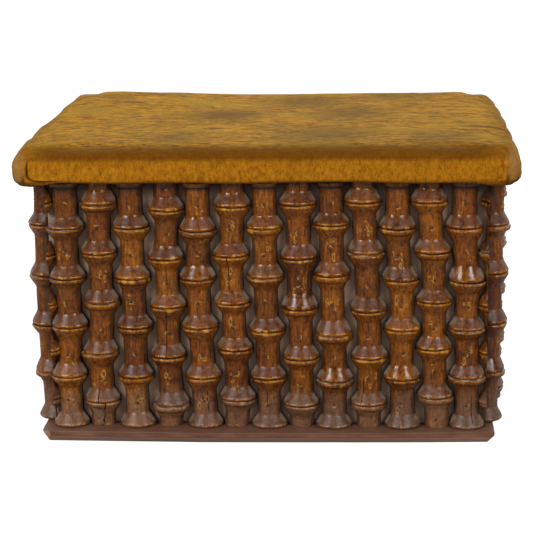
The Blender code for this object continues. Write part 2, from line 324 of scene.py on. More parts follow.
# The chamfer faces down and gets less light, so it is painted lighter than the faces, as painted light
faded = add("MixRGB", grain, CHAMFER_DARK, CHAMFER_PAINTED_LIGHT)
chamfer_lit = add("MapRange", split["Z"], 7.0 * MM, 6.0 * MM, 0.0, 0.7)
tone = add("MixRGB", chamfer_lit, tone, faded)
# Bare wood where the corner chipped off
bare_at = chip_at + Vector((4.0 * MM, 0.0, 2.5 * MM))
from_chip = add("VectorMath", place, bare_at, output="Value", operation="DISTANCE")
bare = add("MapRange", from_chip, 3.5 * MM, 5.5 * MM, 1.0, 0.0)
tone = add("MixRGB", bare, tone, BARE_PINE)
bump = add("Bump", Height=grain, Strength=0.35, Distance=0.4 * MM)
set_shader(board_paint, Base_Color=tone, Normal=bump, Roughness=0.52)
board = piece_from("base_board_painted", bm, board_paint, "box", sharp_from=35)
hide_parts("base_board")

# Box panels
# Four sawn pine boards, butted and nailed. Outside they are stained brown, lie in the shade of the spools
# and are painted darker close under the lid, as painted shade; inside the wood is bare and has yellowed.
PANEL_STAIN = "A08068"
# The colour of the painted shade close under the lid
PANEL_SHADE = "140C08"
PANEL_INSIDE = "8D6A45"
PANEL_INSIDE_DARK = "6A4A2C"
PANEL_GRAIN_MM = 2.2
SHADED_FROM = 0.244
DARKEST_AT = 0.26

panel_wood, add = new_material("stained and bare pine")
place = add("TexCoord", output="Object")
stretched = add("Mapping", Vector=place, Scale=(0.04, 0.04, 1.0))
grain = add("TexNoise", Vector=stretched, Scale=1.0 / (PANEL_GRAIN_MM * MM), Detail=4.0, Distortion=0.6)
bare = add("MixRGB", grain, PANEL_INSIDE_DARK, PANEL_INSIDE)
split = add("SeparateXYZ", place, output=None)
masks = []
for axis, reach in reaches.items():
    away = add("Math", split[axis], operation="ABSOLUTE")
    masks.append(add("Math", away, -reach + MM, operation="LESS_THAN"))
inside = add("Math", masks[0], masks[1], operation="MULTIPLY")
tone = add("MixRGB", inside, PANEL_STAIN, bare)
# Painted shade darkens the outside close under the lid
panel_lid_shade = add("MapRange", split["Z"], SHADED_FROM, DARKEST_AT, 0.0, 0.92)
outside = add("Math", 1.0, inside, operation="SUBTRACT")
panel_lid_shade = add("Math", panel_lid_shade, outside, operation="MULTIPLY")
tone = add("MixRGB", panel_lid_shade, tone, PANEL_SHADE)
bump = add("Bump", Height=grain, Strength=0.4, Distance=0.5 * MM)
set_shader(panel_wood, Base_Color=tone, Normal=bump, Roughness=0.7)
for name in ("front_panel", "back_panel", "left_panel", "right_panel", "lid_board"):
    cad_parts[name].material_slots[0].material = panel_wood

# Halved spools
# Turned birch thread spools, sawn in half lengthwise, glued end to end and nailed on, then brushed with a
# thick brown varnish. No two are quite alike: they differ in length and size, lean, lose chips off their
# rims and crack along the grain. The varnish is rubbed golden on the rims, with painted highlights along
# their edges, and dust and a painted grey reflection grey the flanks. Painted shade darkens the flanks,
# the back edges, the hollows and the tops under the lid.
SPOOL_HEIGHT = 50.8 * MM
FLANGE_RADIUS = 18.8 * MM
BARREL_RADIUS = 12.2 * MM
SAWN_BEHIND = 3.8 * MM
SQUASH = 0.94
TURNING_STEPS = 40
BARREL_RINGS = 13
SIZE_SPREAD = 0.025
LEAN_SPREAD = math.radians(0.9)
SHIFT_SPREAD = 0.6 * MM
CONE_SPREAD = 0.1
GAP_RANGE = (0.04 * MM, 0.4 * MM)
JOINT_SPREAD = (1.4, 2.0)
LIP_REACH = 0.7 * MM
CHIP_CHANCE = 0.55
CRACK_CHANCE = 0.1
# How deep a crack is, in half its width
CRACK_DEPTH = 3.2
GOUGE_CHANCE = 0.6
GOUGE_DEPTH = 0.8 * MM
LIP_CHANCE = 0.3
GLOSS_CHANCE = 0.12
# How far down from the lid the painted shade reaches
LID_SHADE_REACH = 14.0 * MM
HEAD_DROP = 3.3 * MM
HEAD_RIM = 3.2 * MM
HEAD_RIM_HEIGHT = 5.0 * MM
HEAD_REACH = 18.0 * MM
DUSTY_FOOT = 62.0 * MM
NAIL_RADIUS = 1.5 * MM
NAIL_SINK = 0.35 * MM
NAIL_FLATNESS = 0.45
NAIL_DIMPLE = 3.0 * MM
NAIL_CLEARANCE = 5.0 * MM
# The two columns that show in outline were sawn beyond the middle: how far they stand out, from the foot
# up, as shares of the height and millimetres
FULLER_COLUMNS = {
    "left_spools_09": ((0.0, 0.3), (0.25, 2.3), (0.5, 3.3), (0.75, 2.3), (0.9, 0.9), (1.0, 0.3)),
    "right_spools_01": ((0.0, -3.1), (0.2, -1.5), (0.35, 0.1), (1.0, 1.1)),
}
# Outline of one end of a spool: the radius beyond the barrel as a share of the flange's depth, and the
# height above the end face in millimetres
SPOOL_END = (
    (0.84, 0.0), (0.93, 0.45), (0.975, 0.9), (1.0, 1.5), (0.985, 2.2), (0.95, 2.9), (0.895, 3.6),
    (0.77, 5.0), (0.61, 6.8), (0.46, 8.4), (0.32, 9.9), (0.19, 11.3), (0.09, 12.6), (0.025, 13.8),
    (0.0, 15.2),
)
# The head of some spools has a deeper rim with a quirk under it
QUIRKED_END = (
    (0.84, 0.0), (0.93, 0.45), (0.98, 0.9), (1.0, 1.7), (1.0, 3.2), (0.97, 4.2), (0.88, 5.0),
    (0.7, 5.6), (0.56, 6.3), (0.43, 7.6), (0.31, 9.2), (0.19, 10.8), (0.09, 12.2), (0.025, 13.6),
    (0.0, 15.2),
)
QUIRK_CHANCE = 0.4
# What each point of a column notes for the varnish
MARKS = ("dust_and_reflection", "rubbed", "grime_and_shade", "tone", "matt")
# Wear and dust along a spool, from its foot up, in millimetres: how far the varnish is rubbed through, which
# at the rims' edges also stands for painted highlights, how far round from the front the dust begins, with a
# painted grey reflection and painted shade on the flank, as a share of a quarter turn, and how much lies on
# the cone
WORN_STOPS = (
    (0.0, 0.3), (0.5, 0.7), (1.5, 0.55), (2.4, 0.8), (3.6, 0.6), (5.2, 0.0), (45.2, 0.0), (46.8, 0.4),
    (48.6, 0.8), (50.2, 0.75), (50.8, 0.3),
)
DUST_STOPS = (
    (0.0, 0.66), (3.0, 0.6), (4.2, 0.42), (8.0, 0.36), (11.0, 0.38), (13.5, 0.5), (36.0, 0.5), (40.0, 0.5),
    (45.5, 0.55), (47.5, 0.66), (50.8, 0.66),
)
CONE_STOPS = ((3.0, 0.0), (4.2, 1.0), (12.0, 1.0), (13.6, 0.0))
# Where the front's joints lie, column by column and from the foot up: how far to the right of their even
# places and how far above them, in millimetres. The first is the foot.
FRONT_JOINTS = (
    ((-4.3, 0.0), (-4.4, 1.3), (-2.1, 1.9), (-1.9, 1.1), (-2.0, 0.9)),
    ((-4.5, 0.0), (-4.0, 0.5), (-5.7, 0.0), (-1.6, 1.7), (-2.1, 1.1), (-1.4, -0.2)),
    ((-2.1, 0.0), (-2.3, 0.9), (-2.2, 1.4), (-2.2, 1.1), (-2.5, 1.5)),
    ((-1.6, 0.0), (0.4, -3.5), (-1.9, -3.5), (-0.9, -2.7), (-1.6, -4.7), (0.2, -6.3)),
    ((1.5, 0.0), (0.3, 0.4), (-2.0, 1.5), (-2.7, 0.1), (-1.8, -1.3)),
    ((-0.5, 0.0), (2.0, 2.8), (-0.3, 4.2), (-2.4, 1.1), (-2.5, -1.6), (0.0, -2.7)),
    ((0.2, 0.0), (0.5, 0.0), (-0.2, -2.0), (-1.1, 2.2), (-1.5, 1.0)),
    ((0.0, 0.0), (0.1, -2.7), (0.4, -5.2), (-0.6, -4.6), (-1.0, -4.0), (-1.1, -1.0)),
    ((0.5, 0.0), (1.3, -2.9), (0.8, -6.3), (-1.3, 4.2), (-1.9, 4.1)),
    ((1.8, 0.0), (1.4, -1.7), (2.4, -4.2), (2.5, -6.7), (-0.9, 0.9), (-3.6, 1.2)),
    ((2.9, 0.0), (2.7, -0.2), (2.9, -0.1), (1.0, -0.8), (-2.8, 0.4)),
    ((4.3, 0.0), (2.9, 6.4), (2.0, 5.6), (1.2, 2.8), (-0.7, 1.9), (-4.5, 1.0)),
    ((2.2, 0.0), (1.8, 0.9), (1.3, 0.0), (0.7, -2.4), (-2.6, 1.0)),
)
# Front joints, as column and number from the foot, where the lower spool's rim stands out and holds dust,
# and those above which the cone has kept its gloss
FRONT_LIPS = (
    (1, 4), (2, 5), (2, 3), (2, 2), (3, 4), (4, 1), (5, 4), (7, 3), (8, 2), (9, 1), (9, 2), (10, 4),
    (13, 1), (13, 2), (13, 3),
)
GLOSSY_CONES = ((5, 3), (8, 3), (9, 1), (11, 1), (13, 3))
# Cracks that the photograph shows on the front: column, spool from the foot, degrees round the barrel,
# lowest and highest point as shares of the spool, and half its width in millimetres
FRONT_CRACKS = (
    (2, 0, 14, 0.5, 1.0, 1.4),
    (2, 1, -7, 0.0, 0.22, 0.8),
    (4, 2, -1, 0.03, 0.93, 0.6),
    (6, 3, -9, 0.3, 1.0, 0.7),
    (13, 0, 20, 0.1, 0.7, 0.5),
)


def eased(start, stop, value):
    """Nought before start and one after stop, with an S-shaped rise between them."""
    share = min(1.0, max(0.0, (value - start) / (stop - start)))
    return share * share * (3.0 - 2.0 * share)


def fading(start, stop, value):
    """One before start and nought after stop."""
    return 1.0 - eased(start, stop, value)


def spool_outline(rng, flange_moves, glossy):
    """Radius and height of one spool, foot to head, with its own small departures from the pattern."""
    barrel = BARREL_RADIUS * (1.0 + rng.uniform(-SIZE_SPREAD, SIZE_SPREAD))
    ends = []
    quirked = rng.random() < QUIRK_CHANCE
    for end, flange_move in zip((SPOOL_END, QUIRKED_END if quirked else SPOOL_END), flange_moves):
        flange = FLANGE_RADIUS * (1.0 + rng.uniform(-SIZE_SPREAD, 0.4 * SIZE_SPREAD)) + flange_move
        longer = (1.12 if glossy else 0.95) + rng.uniform(-CONE_SPREAD, CONE_SPREAD)
        gap = rng.uniform(*GAP_RANGE)
        ends.append([(barrel + (flange - barrel) * share, gap + rise * MM * longer) for share, rise in end])
    foot, head = ends
    start, stop = foot[-1][1], SPOOL_HEIGHT - head[-1][1]
    rings = [start + (stop - start) * (n + 1) / (BARREL_RINGS + 1) for n in range(BARREL_RINGS)]
    return [*foot, *[(barrel, z) for z in rings], *[(r, SPOOL_HEIGHT - z) for r, z in reversed(head)]]


def turn_half(outline):
    """Spins an outline round a little more than half a turn and closes its sawn back, which lies behind the
    axis at X and Y zero."""
    bm = bmesh.new()
    points = [(0.0, outline[0][1]), *outline, (0.0, outline[-1][1])]
    spare = math.asin(SAWN_BEHIND / BARREL_RADIUS)
    verts = [bm.verts.new((r * math.cos(spare), r * math.sin(spare), height)) for r, height in points]
    edges = [bm.edges.new(pair) for pair in zip(verts, verts[1:])]
    bmesh.ops.spin(
        bm,
        geom=[*verts, *edges],
        cent=(0.0, 0.0, 0.0),
        axis=(0.0, 0.0, 1.0),
        angle=-math.pi - 2 * spare,
        steps=TURNING_STEPS,
        use_merge=False,
    )
    bmesh.ops.remove_doubles(bm, verts=bm.verts, dist=0.02 * MM)
    for vert in bm.verts:
        on_axis = math.hypot(vert.co.x, vert.co.y) < MM
        vert.co.y = SAWN_BEHIND if on_axis else min(vert.co.y, SAWN_BEHIND)
    close_up(bm)
    return bm


def round_the_front(angle, radius, height):
    """A point at an angle round the spool from its front, a radius from its axis."""
    return Vector((math.sin(angle) * radius, -math.cos(angle) * radius, height))


def wear_spool(bm, rng, dusty_lip, glossy, open_air):
    """Wears one spool's shape, and notes on each point how dusty, rubbed and grimy the varnish is there, and
    how much painted shade, painted highlight and painted grey reflection it takes.
    """
    dust_and_reflection, rubbed, grime_and_shade, tone, matt = (bm.verts.layers.float.new(key) for key in MARKS)
    own_tone = rng.random()
    drift = Vector((rng.random(), rng.random(), rng.random())) * 50.0
    nail_angle = rng.uniform(-0.16, 0.16)
    nail = round_the_front(nail_angle, BARREL_RADIUS, SPOOL_HEIGHT / 2 + rng.uniform(-3.0, 3.0) * MM)
    # The side of the nail's dimple that takes a painted highlight
    highlight_side = rng.uniform(-math.pi, math.pi)
    chips = []
    while rng.random() < CHIP_CHANCE and len(chips) < 4:
        height = rng.choice((1.5 * MM, SPOOL_HEIGHT - 1.5 * MM))
        place = round_the_front(rng.uniform(-1.2, 1.2), FLANGE_RADIUS, height)
        chips.append((place, rng.uniform(1.8, 4.5) * MM, rng.uniform(0.4, 1.3) * MM))
    # Small gouges in the barrel, most of them near the nail. Each is darkened inside, as dirt and painted
    # shade, and ringed with gold, partly worn varnish and partly a painted highlight on its edge
    gouges = []
    while rng.random() < GOUGE_CHANCE and len(gouges) < 5:
        place = round_the_front(rng.uniform(-0.6, 0.6), BARREL_RADIUS, nail.z + rng.uniform(-9.0, 9.0) * MM)
        gouges.append((place, rng.uniform(0.7, 1.5) * MM, rng.uniform(0.35, 1.2)))
    for vert in bm.verts:
        away = math.hypot(vert.co.x, vert.co.y)
        side = min(1.0, abs(math.atan2(vert.co.x, -vert.co.y)) / (math.pi / 2)) if away > MM else 1.0
        if open_air:
            side *= 0.6
        uneven = noise.noise(vert.co * 160.0 + drift)
        height = vert.co.z / MM
        start = read_off(height, DUST_STOPS) + 0.14 * uneven
        upward = read_off(height, CONE_STOPS)
        # The flank, from where the dust begins, takes dust, a painted grey reflection and painted shade
        flank = eased(start - 0.05, start + 0.12 + 0.28 * upward, side)
        vert[dust_and_reflection] = max(flank * (0.25 + 0.85 * upward), 0.0 if glossy else 0.12 * upward)
        vert[matt] = max(0.0 if glossy else 0.5 * upward, 0.3 * flank)
        # Rubbed gold at the rims, partly standing for painted highlights along their edges
        vert[rubbed] = read_off(height, WORN_STOPS) * fading(0.5, 0.75, side)
        vert[tone] = own_tone
        from_head = SPOOL_HEIGHT / MM - height
        end = min(height, from_head)
        # Dark joints at the ends, painted shade on the barrels' flanks, and a painted shadow along the back
        # edges where the spool meets the panel
        back_edge_shadow = eased(0.72 + 0.16 * upward, 0.9 + 0.08 * upward, side)
        vert[grime_and_shade] = max(fading(0.1, 0.4, end), 0.45 * flank * (1.0 - upward), back_edge_shadow)
        if dusty_lip and 0.1 < from_head < 0.7:
            vert[dust_and_reflection], vert[rubbed], vert[grime_and_shade] = 0.85 + 1.1 * uneven, 0.2, 0.0
        if away < BARREL_RADIUS / 2 or vert.co.y > SAWN_BEHIND - 0.1 * MM:
            continue
        outward = Vector((vert.co.x, vert.co.y, 0.0)) / away
        push = 0.2 * MM * noise.noise(vert.co * 90.0 + drift)
        push += 0.13 * MM * noise.noise(vert.co * 380.0 + drift)
        for place, reach, depth in chips:
            near = 1.0 - (vert.co - place).length / reach
            if near > 0.0:
                rough = 0.75 + 0.6 * noise.noise(vert.co * 700.0 + drift)
                push -= depth * min(1.0, 2.2 * near) * rough
                vert[rubbed] = max(vert[rubbed], min(1.3, 2.4 * near))
        for place, reach, squat in gouges:
            apart = vert.co - place
            apart.z *= squat
            near = 1.0 - apart.length / reach
            if near > -0.6:
                vert[rubbed] = max(vert[rubbed], 1.0)
            if near > 0.0:
                push -= GOUGE_DEPTH * min(1.0, 2.0 * near)
                vert[grime_and_shade] = max(vert[grime_and_shade], min(1.0, 2.0 * near))
        from_nail = vert.co - nail
        near = 1.0 - from_nail.length / NAIL_DIMPLE
        # The nail's dimple is darkened, as dirt and painted shade, with a painted highlight on one side of
        # it
        if near > 0.0:
            push -= (NAIL_SINK + 0.35 * MM) * near
            vert[grime_and_shade] = max(vert[grime_and_shade], 0.7 * near)
            if math.cos(math.atan2(from_nail.z, from_nail.x) - highlight_side) > 0.3:
                vert[rubbed] = 1.2
        vert.co += outward * push
        if end < 1.2:
            vert.co.z += 0.18 * MM * noise.noise(vert.co * 230.0 + drift) * (1.2 - end)
    return nail, nail_angle


def crack_spool(bm, angle, low_end, high_end, half_width):
    """Opens a crack along the grain: cuts two lines beside a third, whose points are pushed in. A wide
    crack has lost a flake of wood from its left side too."""
    across = Vector((math.cos(angle), math.sin(angle), 0.0))
    front = Vector((math.sin(angle), -math.cos(angle), 0.0))
    for offset in (-half_width, 0.0, half_width):
        cut(bm, across * offset, across)
    dust_and_reflection, rubbed, grime_and_shade = (bm.verts.layers.float[key] for key in ("dust_and_reflection", "rubbed", "grime_and_shade"))
    length = high_end - low_end
    for vert in bm.verts:
        aside = vert.co.dot(across)
        on_line = abs(aside) < 0.02 * MM and vert.co.dot(front) > BARREL_RADIUS / 2
        if on_line and low_end - 0.1 * MM < vert.co.z < high_end + 0.1 * MM:
            ends = min(vert.co.z - low_end, high_end - vert.co.z) / length
            runs_out = low_end < MM or high_end > SPOOL_HEIGHT - MM
            open_share = 1.0 if runs_out and ends < 0.3 else min(1.0, 4.0 * ends + 0.15)
            vert.co -= front * CRACK_DEPTH * min(half_width, MM) * open_share
            vert.co += across * 0.35 * half_width * noise.noise(vert.co * 300.0)
            # The crack's line is painted near black, as dirt and painted shade in it
            vert[grime_and_shade] = 1.0
        elif half_width > 1.2 * MM and aside < 0.0 and vert.co.z < SPOOL_HEIGHT - 7 * MM:
            proud = vert.co.dot(front) - 0.72 * BARREL_RADIUS
            if proud > 0.0:
                vert.co -= front * proud * (0.85 + 0.15 * noise.noise(vert.co * 400.0))
                vert[dust_and_reflection], vert[rubbed] = 0.6, 0.0


def join_into(whole, part):
    """Adds a finished mesh to one under construction."""
    mesh = bpy.data.meshes.new("part")
    part.to_mesh(mesh)
    part.free()
    whole.from_mesh(mesh)
    bpy.data.meshes.remove(mesh)


def add_spool(column, nails, rng, crack, lips, glossy, open_air, foot, cuts, place):
    """One half-spool of a column, cut off where the column ends, and the place of its nail."""
    low_cut, high_cut = cuts
    bm = turn_half(spool_outline(rng, (-0.5 * LIP_REACH * lips[0], LIP_REACH * lips[1]), glossy))
    nail, nail_angle = wear_spool(bm, rng, lips[1], glossy, open_air)
    chance, angle = rng.random(), rng.uniform(-0.7, 0.7)
    low_share, length = rng.random(), rng.uniform(0.3, 0.6)
    if crack is None and chance < CRACK_CHANCE:
        low_share *= 1.0 - length
        crack = (math.degrees(angle), low_share, low_share + length, 0.45)
    if crack is not None:
        degrees, low_share, high_share, half_width = crack
        low_end, high_end = low_share * SPOOL_HEIGHT, high_share * SPOOL_HEIGHT
        crack_spool(bm, math.radians(degrees), low_end, high_end, half_width * MM)
    for height, upwards in ((low_cut, -1.0), (high_cut, 1.0)):
        if height is not None:
            cut(bm, (0.0, 0.0, height), (0.0, 0.0, upwards), take_off=True)
    lean = Matrix.Rotation(rng.uniform(-LEAN_SPREAD, LEAN_SPREAD), 4, "Y")
    middle = Vector((0.0, 0.0, SPOOL_HEIGHT / 2))
    shift = Vector((rng.uniform(-SHIFT_SPREAD, SHIFT_SPREAD), -rng.uniform(0.0, SHIFT_SPREAD), foot))
    moved = place @ Matrix.Translation(shift + middle) @ lean @ Matrix.Translation(-middle)
    moved = moved @ Matrix.Diagonal((1.0, SQUASH, 1.0, 1.0)) @ Matrix.Translation((0.0, -SAWN_BEHIND, 0.0))
    bmesh.ops.transform(bm, matrix=moved, verts=bm.verts)
    join_into(column, bm)
    above_low_cut = low_cut is None or nail.z > low_cut + NAIL_CLEARANCE
    if above_low_cut and (high_cut is None or nail.z < high_cut - NAIL_CLEARANCE):
        facing = Matrix.Rotation(nail_angle, 4, "Z") @ Matrix.Rotation(math.pi / 2, 4, "X")
        nails.append(moved @ Matrix.Translation(nail) @ facing)


def stack_spools(rng, nails, number, seen, open_air, first_foot, column_height, place):
    """A column of half-spools, with the first one's foot at or below the column's own. The spools aren't of
    one length or quite in line, so their joints wander. What the photograph shows of the front is given to
    it; elsewhere it comes by chance. In the open air no neighbour stands by its flanks, so they take less
    dust, less painted grey reflection and less painted shade."""
    column, own_nails = bmesh.new(), []
    joints = [first_foot]
    while joints[-1] < column_height - MM:
        joints.append(joints[-1] + SPOOL_HEIGHT)
    inner = [joint for joint in joints if 0.0 < joint < column_height - MM]
    if seen:
        moves = FRONT_JOINTS[number - 1]
        lipped = [(number, joint) in FRONT_LIPS for joint in range(len(joints) + 1)]
    else:
        moves = [[rng.uniform(-spread, spread) for spread in JOINT_SPREAD] for _ in [0, *inner]]
        lipped = [joint > 0 and rng.random() < LIP_CHANCE for joint in range(len(joints) + 1)]
    aside = [move[0] * MM for move in moves]
    upward = [move[1] * MM for move in moves]
    upward[0] = upward[1] if first_foot < 0.0 else 0.0
    heights = [0.0, *inner, column_height]
    # A whole head ends a little short of the lid, a cut one at it
    whole_head = joints[-1] < column_height + MM
    aside = list(zip(heights, [*aside, aside[-1]]))
    upward = list(zip(heights, [*upward, -HEAD_DROP if whole_head else upward[-1]]))
    top = column_height if whole_head else column_height - upward[-1][1]
    for n, (foot, head) in enumerate(zip(joints, joints[1:])):
        cuts = (-foot - upward[0][1] if foot < 0.0 else None, top - foot if head > top + MM else None)
        shown = [row[2:] for row in FRONT_CRACKS if seen and row[:2] == (number, n)]
        glossy = (number, n) in GLOSSY_CONES if seen else rng.random() < GLOSS_CHANCE
        lips = (lipped[n], lipped[n + 1])
        crack = shown[0] if shown else None
        add_spool(column, own_nails, rng, crack, lips, glossy, open_air, foot, cuts, place)
    rightward = place.to_3x3() @ Vector((1.0, 0.0, 0.0))
    forward = place.to_3x3() @ Vector((0.0, -1.0, 0.0))
    # Painted shade under the lid's overhang, and dust towards the foot
    grime_and_shade, dust_and_reflection = (column.verts.layers.float[key] for key in ("grime_and_shade", "dust_and_reflection"))
    for vert in column.verts:
        height = vert.co.z - place.translation.z
        painted_lid_shade = 0.2 * eased(column_height - LID_SHADE_REACH, column_height, height)
        # The flange of a whole head is turned down to a narrow rim, with painted shade in the groove below
        # it
        if whole_head and height > column_height - HEAD_REACH:
            below = column_height - height
            from_axis = vert.co - place.translation
            right, ahead = from_axis.dot(rightward), from_axis.dot(forward) - SAWN_BEHIND
            turned_down = eased(HEAD_RIM_HEIGHT, HEAD_RIM_HEIGHT + 2 * MM, below)
            widest = BARREL_RADIUS + HEAD_RIM * (1.0 - turned_down)
            kept = min(1.0, widest / max(math.hypot(right, ahead), MM))
            vert.co += rightward * (kept - 1.0) * right + forward * (kept - 1.0) * max(ahead, 0.0)
            groove_shade = eased(4 * MM, 6 * MM, below) * fading(8 * MM, 10 * MM, below)
            painted_lid_shade = max(painted_lid_shade, 0.75 * groove_shade)
        # A near black band at the very top is a painted shadow under the lid's hem
        vert[grime_and_shade] = 1.0 if height > top - 1.2 * MM else max(vert[grime_and_shade], painted_lid_shade)
        low_down = fading(0.3 * DUSTY_FOOT, DUSTY_FOOT, height + 12 * MM * noise.noise(vert.co * 30.0))
        vert[dust_and_reflection] = max(vert[dust_and_reflection], 0.42 * low_down)
        vert.co += rightward * read_off(height, aside)
        vert.co.z += read_off(height, upward)
    for nail in own_nails:
        height = nail.translation.z - place.translation.z
        shift = rightward * read_off(height, aside) + Vector((0.0, 0.0, read_off(height, upward)))
        nails.append(Matrix.Translation(shift) @ nail)
    return column


def fill_out(column, nails, outward, sawn_at, foot, stops):
    """Moves a column's turned side outwards, and leaves its sawn back where it is, with painted shade along
    the joint.
    """
    grime_and_shade = column.verts.layers.float["grime_and_shade"]
    for vert in column.verts:
        depth = (vert.co - sawn_at).dot(outward)
        if depth < 1.2 * MM:
            vert[grime_and_shade] = 1.0
        reach = read_off((vert.co.z - foot) / (5 * SPOOL_HEIGHT), stops) * MM
        vert.co += outward * reach * eased(0.0, 2.5 * MM, depth)
    for n, place in enumerate(nails):
        if abs((place.translation - sawn_at).cross(outward).z) < FLANGE_RADIUS:
            reach = read_off((place.translation.z - foot) / (5 * SPOOL_HEIGHT), stops) * MM
            nails[n] = Matrix.Translation(outward * reach) @ place


# Thick brown varnish over birch: clear orange brown on the fronts, golden where it is rubbed through or has
# flaked off and as painted highlights along the rims' edges, matt and grey where dust has stuck and as a
# painted grey reflection on the flanks, near black in the joints, and darkened by painted shade on the
# flanks, along the back edges, in the hollows and under the lid
varnish, add = new_material("brushed brown varnish on birch")
marks = {key: add("Attribute", output="Fac", attribute_name=key) for key in MARKS}
place = add("TexCoord", output="Object")
apart = add("Math", marks["tone"], 7.0, operation="MULTIPLY")
place = add("VectorMath", place, apart, operation="ADD")
# Birch grain runs up the spool, in lines about a millimetre apart
along = add("Mapping", Vector=place, Scale=(1.0, 1.0, 0.16))
grain = add("TexNoise", Vector=along, Scale=460.0, Detail=5.0, Roughness=0.7)
patches = add("TexNoise", Vector=place, Scale=140.0, Detail=6.0, Roughness=0.7)
regions = add("TexNoise", Vector=place, Scale=55.0, Detail=3.0, Roughness=0.5)
flecks = add("TexNoise", Vector=place, Scale=430.0, Detail=4.0, Roughness=0.7)
specks = add("TexNoise", Vector=along, Scale=330.0, Detail=5.0, Roughness=0.8)
mixed = add("Math", flecks, 0.5, grain, operation="MULTIPLY_ADD")
mixed = add("Math", patches, 0.5, mixed, operation="MULTIPLY_ADD")
mixed = add("MapRange", mixed, 0.82, 1.2)
red_brown = add("MixRGB", mixed, "3A1604", "8C480E")
orange_brown = add("MixRGB", mixed, "4C2604", "A86008")
warm = add("Math", marks["tone"], 0.6, regions, operation="MULTIPLY_ADD")
warm = add("MapRange", warm, 0.5, 1.05)
tone = add("MixRGB", warm, red_brown, orange_brown)
# It is thicker on some spools than on others
thickness = add("Math", marks["tone"], 13.0, operation="MULTIPLY")
thickness = add("Math", thickness, operation="FRACT")
thickness = add("MapRange", thickness, 0.35, 1.0, 0.0, 0.75)
tone = add("MixRGB", thickness, tone, "B4A49C", blend_type="MULTIPLY")
# Rims and edges rubbed to gold in broken lines, which along the rims' edges also stand for painted
# highlights, and flecks where the varnish has come off
rubbed = add("Math", flecks, 0.9, patches, operation="MULTIPLY_ADD")
rubbed = add("Math", rubbed, marks["rubbed"], operation="MULTIPLY")
rubbed = add("MapRange", rubbed, 0.62, 0.92, 0.0, 0.85)
flaked = add("MapRange", specks, 0.58, 0.65)
flaking = add("MapRange", regions, 0.47, 0.62, 0.0, 0.8)
flaked = add("Math", flaked, flaking, operation="MULTIPLY")
golden = add("Math", rubbed, flaked, operation="MAXIMUM")
tone = add("MixRGB", golden, tone, "C08426")
pitted = add("MapRange", specks, 0.36, 0.3, 0.0, 0.5)
tone = add("MixRGB", pitted, tone, "2A1204")
# Dust greys the flanks, partly as a painted grey reflection at their edges
dust_and_reflection = add("Math", patches, 0.5, marks["dust_and_reflection"], operation="MULTIPLY_ADD")
dust_and_reflection = add("MapRange", dust_and_reflection, 0.36, 1.25, 0.0, 0.95)
pale = add("MapRange", marks["dust_and_reflection"], 0.75, 1.3)
grey_brown = add("MixRGB", flecks, "443428", "9A8674")
grey_brown = add("MixRGB", pale, grey_brown, "A09080")
tone = add("MixRGB", dust_and_reflection, tone, grey_brown)
# Dirt in the joints, and painted shade and painted shadow where the marks say so
tone = add("MixRGB", marks["grime_and_shade"], tone, "170B05")
# Painted shade: the matt cones and flanks are darkened and warmed to offset their broad sheen
painted_matt_shade = add("MapRange", marks["matt"], 0.1, 0.5, 0.0, 0.45)
tone = add("MixRGB", painted_matt_shade, tone, "B49C7C", blend_type="MULTIPLY")
gloss = add("MapRange", patches, 0.3, 0.7, 0.05, 0.18)
roughness = add("Math", dust_and_reflection, 0.2, gloss, operation="MULTIPLY_ADD")
roughness = add("Math", marks["matt"], 0.5, roughness, operation="MULTIPLY_ADD")
roughness = add("Math", golden, 0.06, roughness, operation="MULTIPLY_ADD")
roughness = add("Math", marks["grime_and_shade"], 0.6, roughness, operation="MULTIPLY_ADD")
# The varnish dried in lumps and runs a millimetre or two across, and it is pitted where it flaked
lumps = add("TexNoise", Vector=place, Scale=380.0, Detail=5.0, Roughness=0.62)
height = add("Math", grain, 0.3, lumps, operation="MULTIPLY_ADD")
rougher = add("Math", marks["rubbed"], 1.3, 1.0, operation="MULTIPLY_ADD")
height = add("Math", height, rougher, operation="MULTIPLY")
height = add("Math", flaked, -0.4, height, operation="MULTIPLY_ADD")
height = add("Math", pitted, -0.3, height, operation="MULTIPLY_ADD")
bump = add("Bump", Height=height, Strength=0.32, Distance=0.7 * MM)
set_shader(varnish, Base_Color=tone, Roughness=roughness, Normal=bump, IOR=1.5, Specular_IOR_Level=0.45)

# Round iron nail heads, rusted dark, sunk a little into the barrels
nail_iron, add = new_material("rusted iron")
place = add("TexCoord", output="Object")
rust = add("TexNoise", Vector=place, Scale=700.0, Detail=3.0)
tone = add("MixRGB", rust, "1B100B", "6A4A33")
set_shader(nail_iron, Base_Color=tone, Metallic=0.35, Roughness=0.45)


def add_head(bm, radius, flatness, place):
    """Adds a domed nail head at a place."""
    head = bmesh.ops.create_uvsphere(bm, u_segments=8, v_segments=4, radius=radius)["verts"]
    bmesh.ops.scale(bm, vec=(1.0, 1.0, flatness), verts=head)
    bmesh.ops.transform(bm, matrix=place, verts=head)


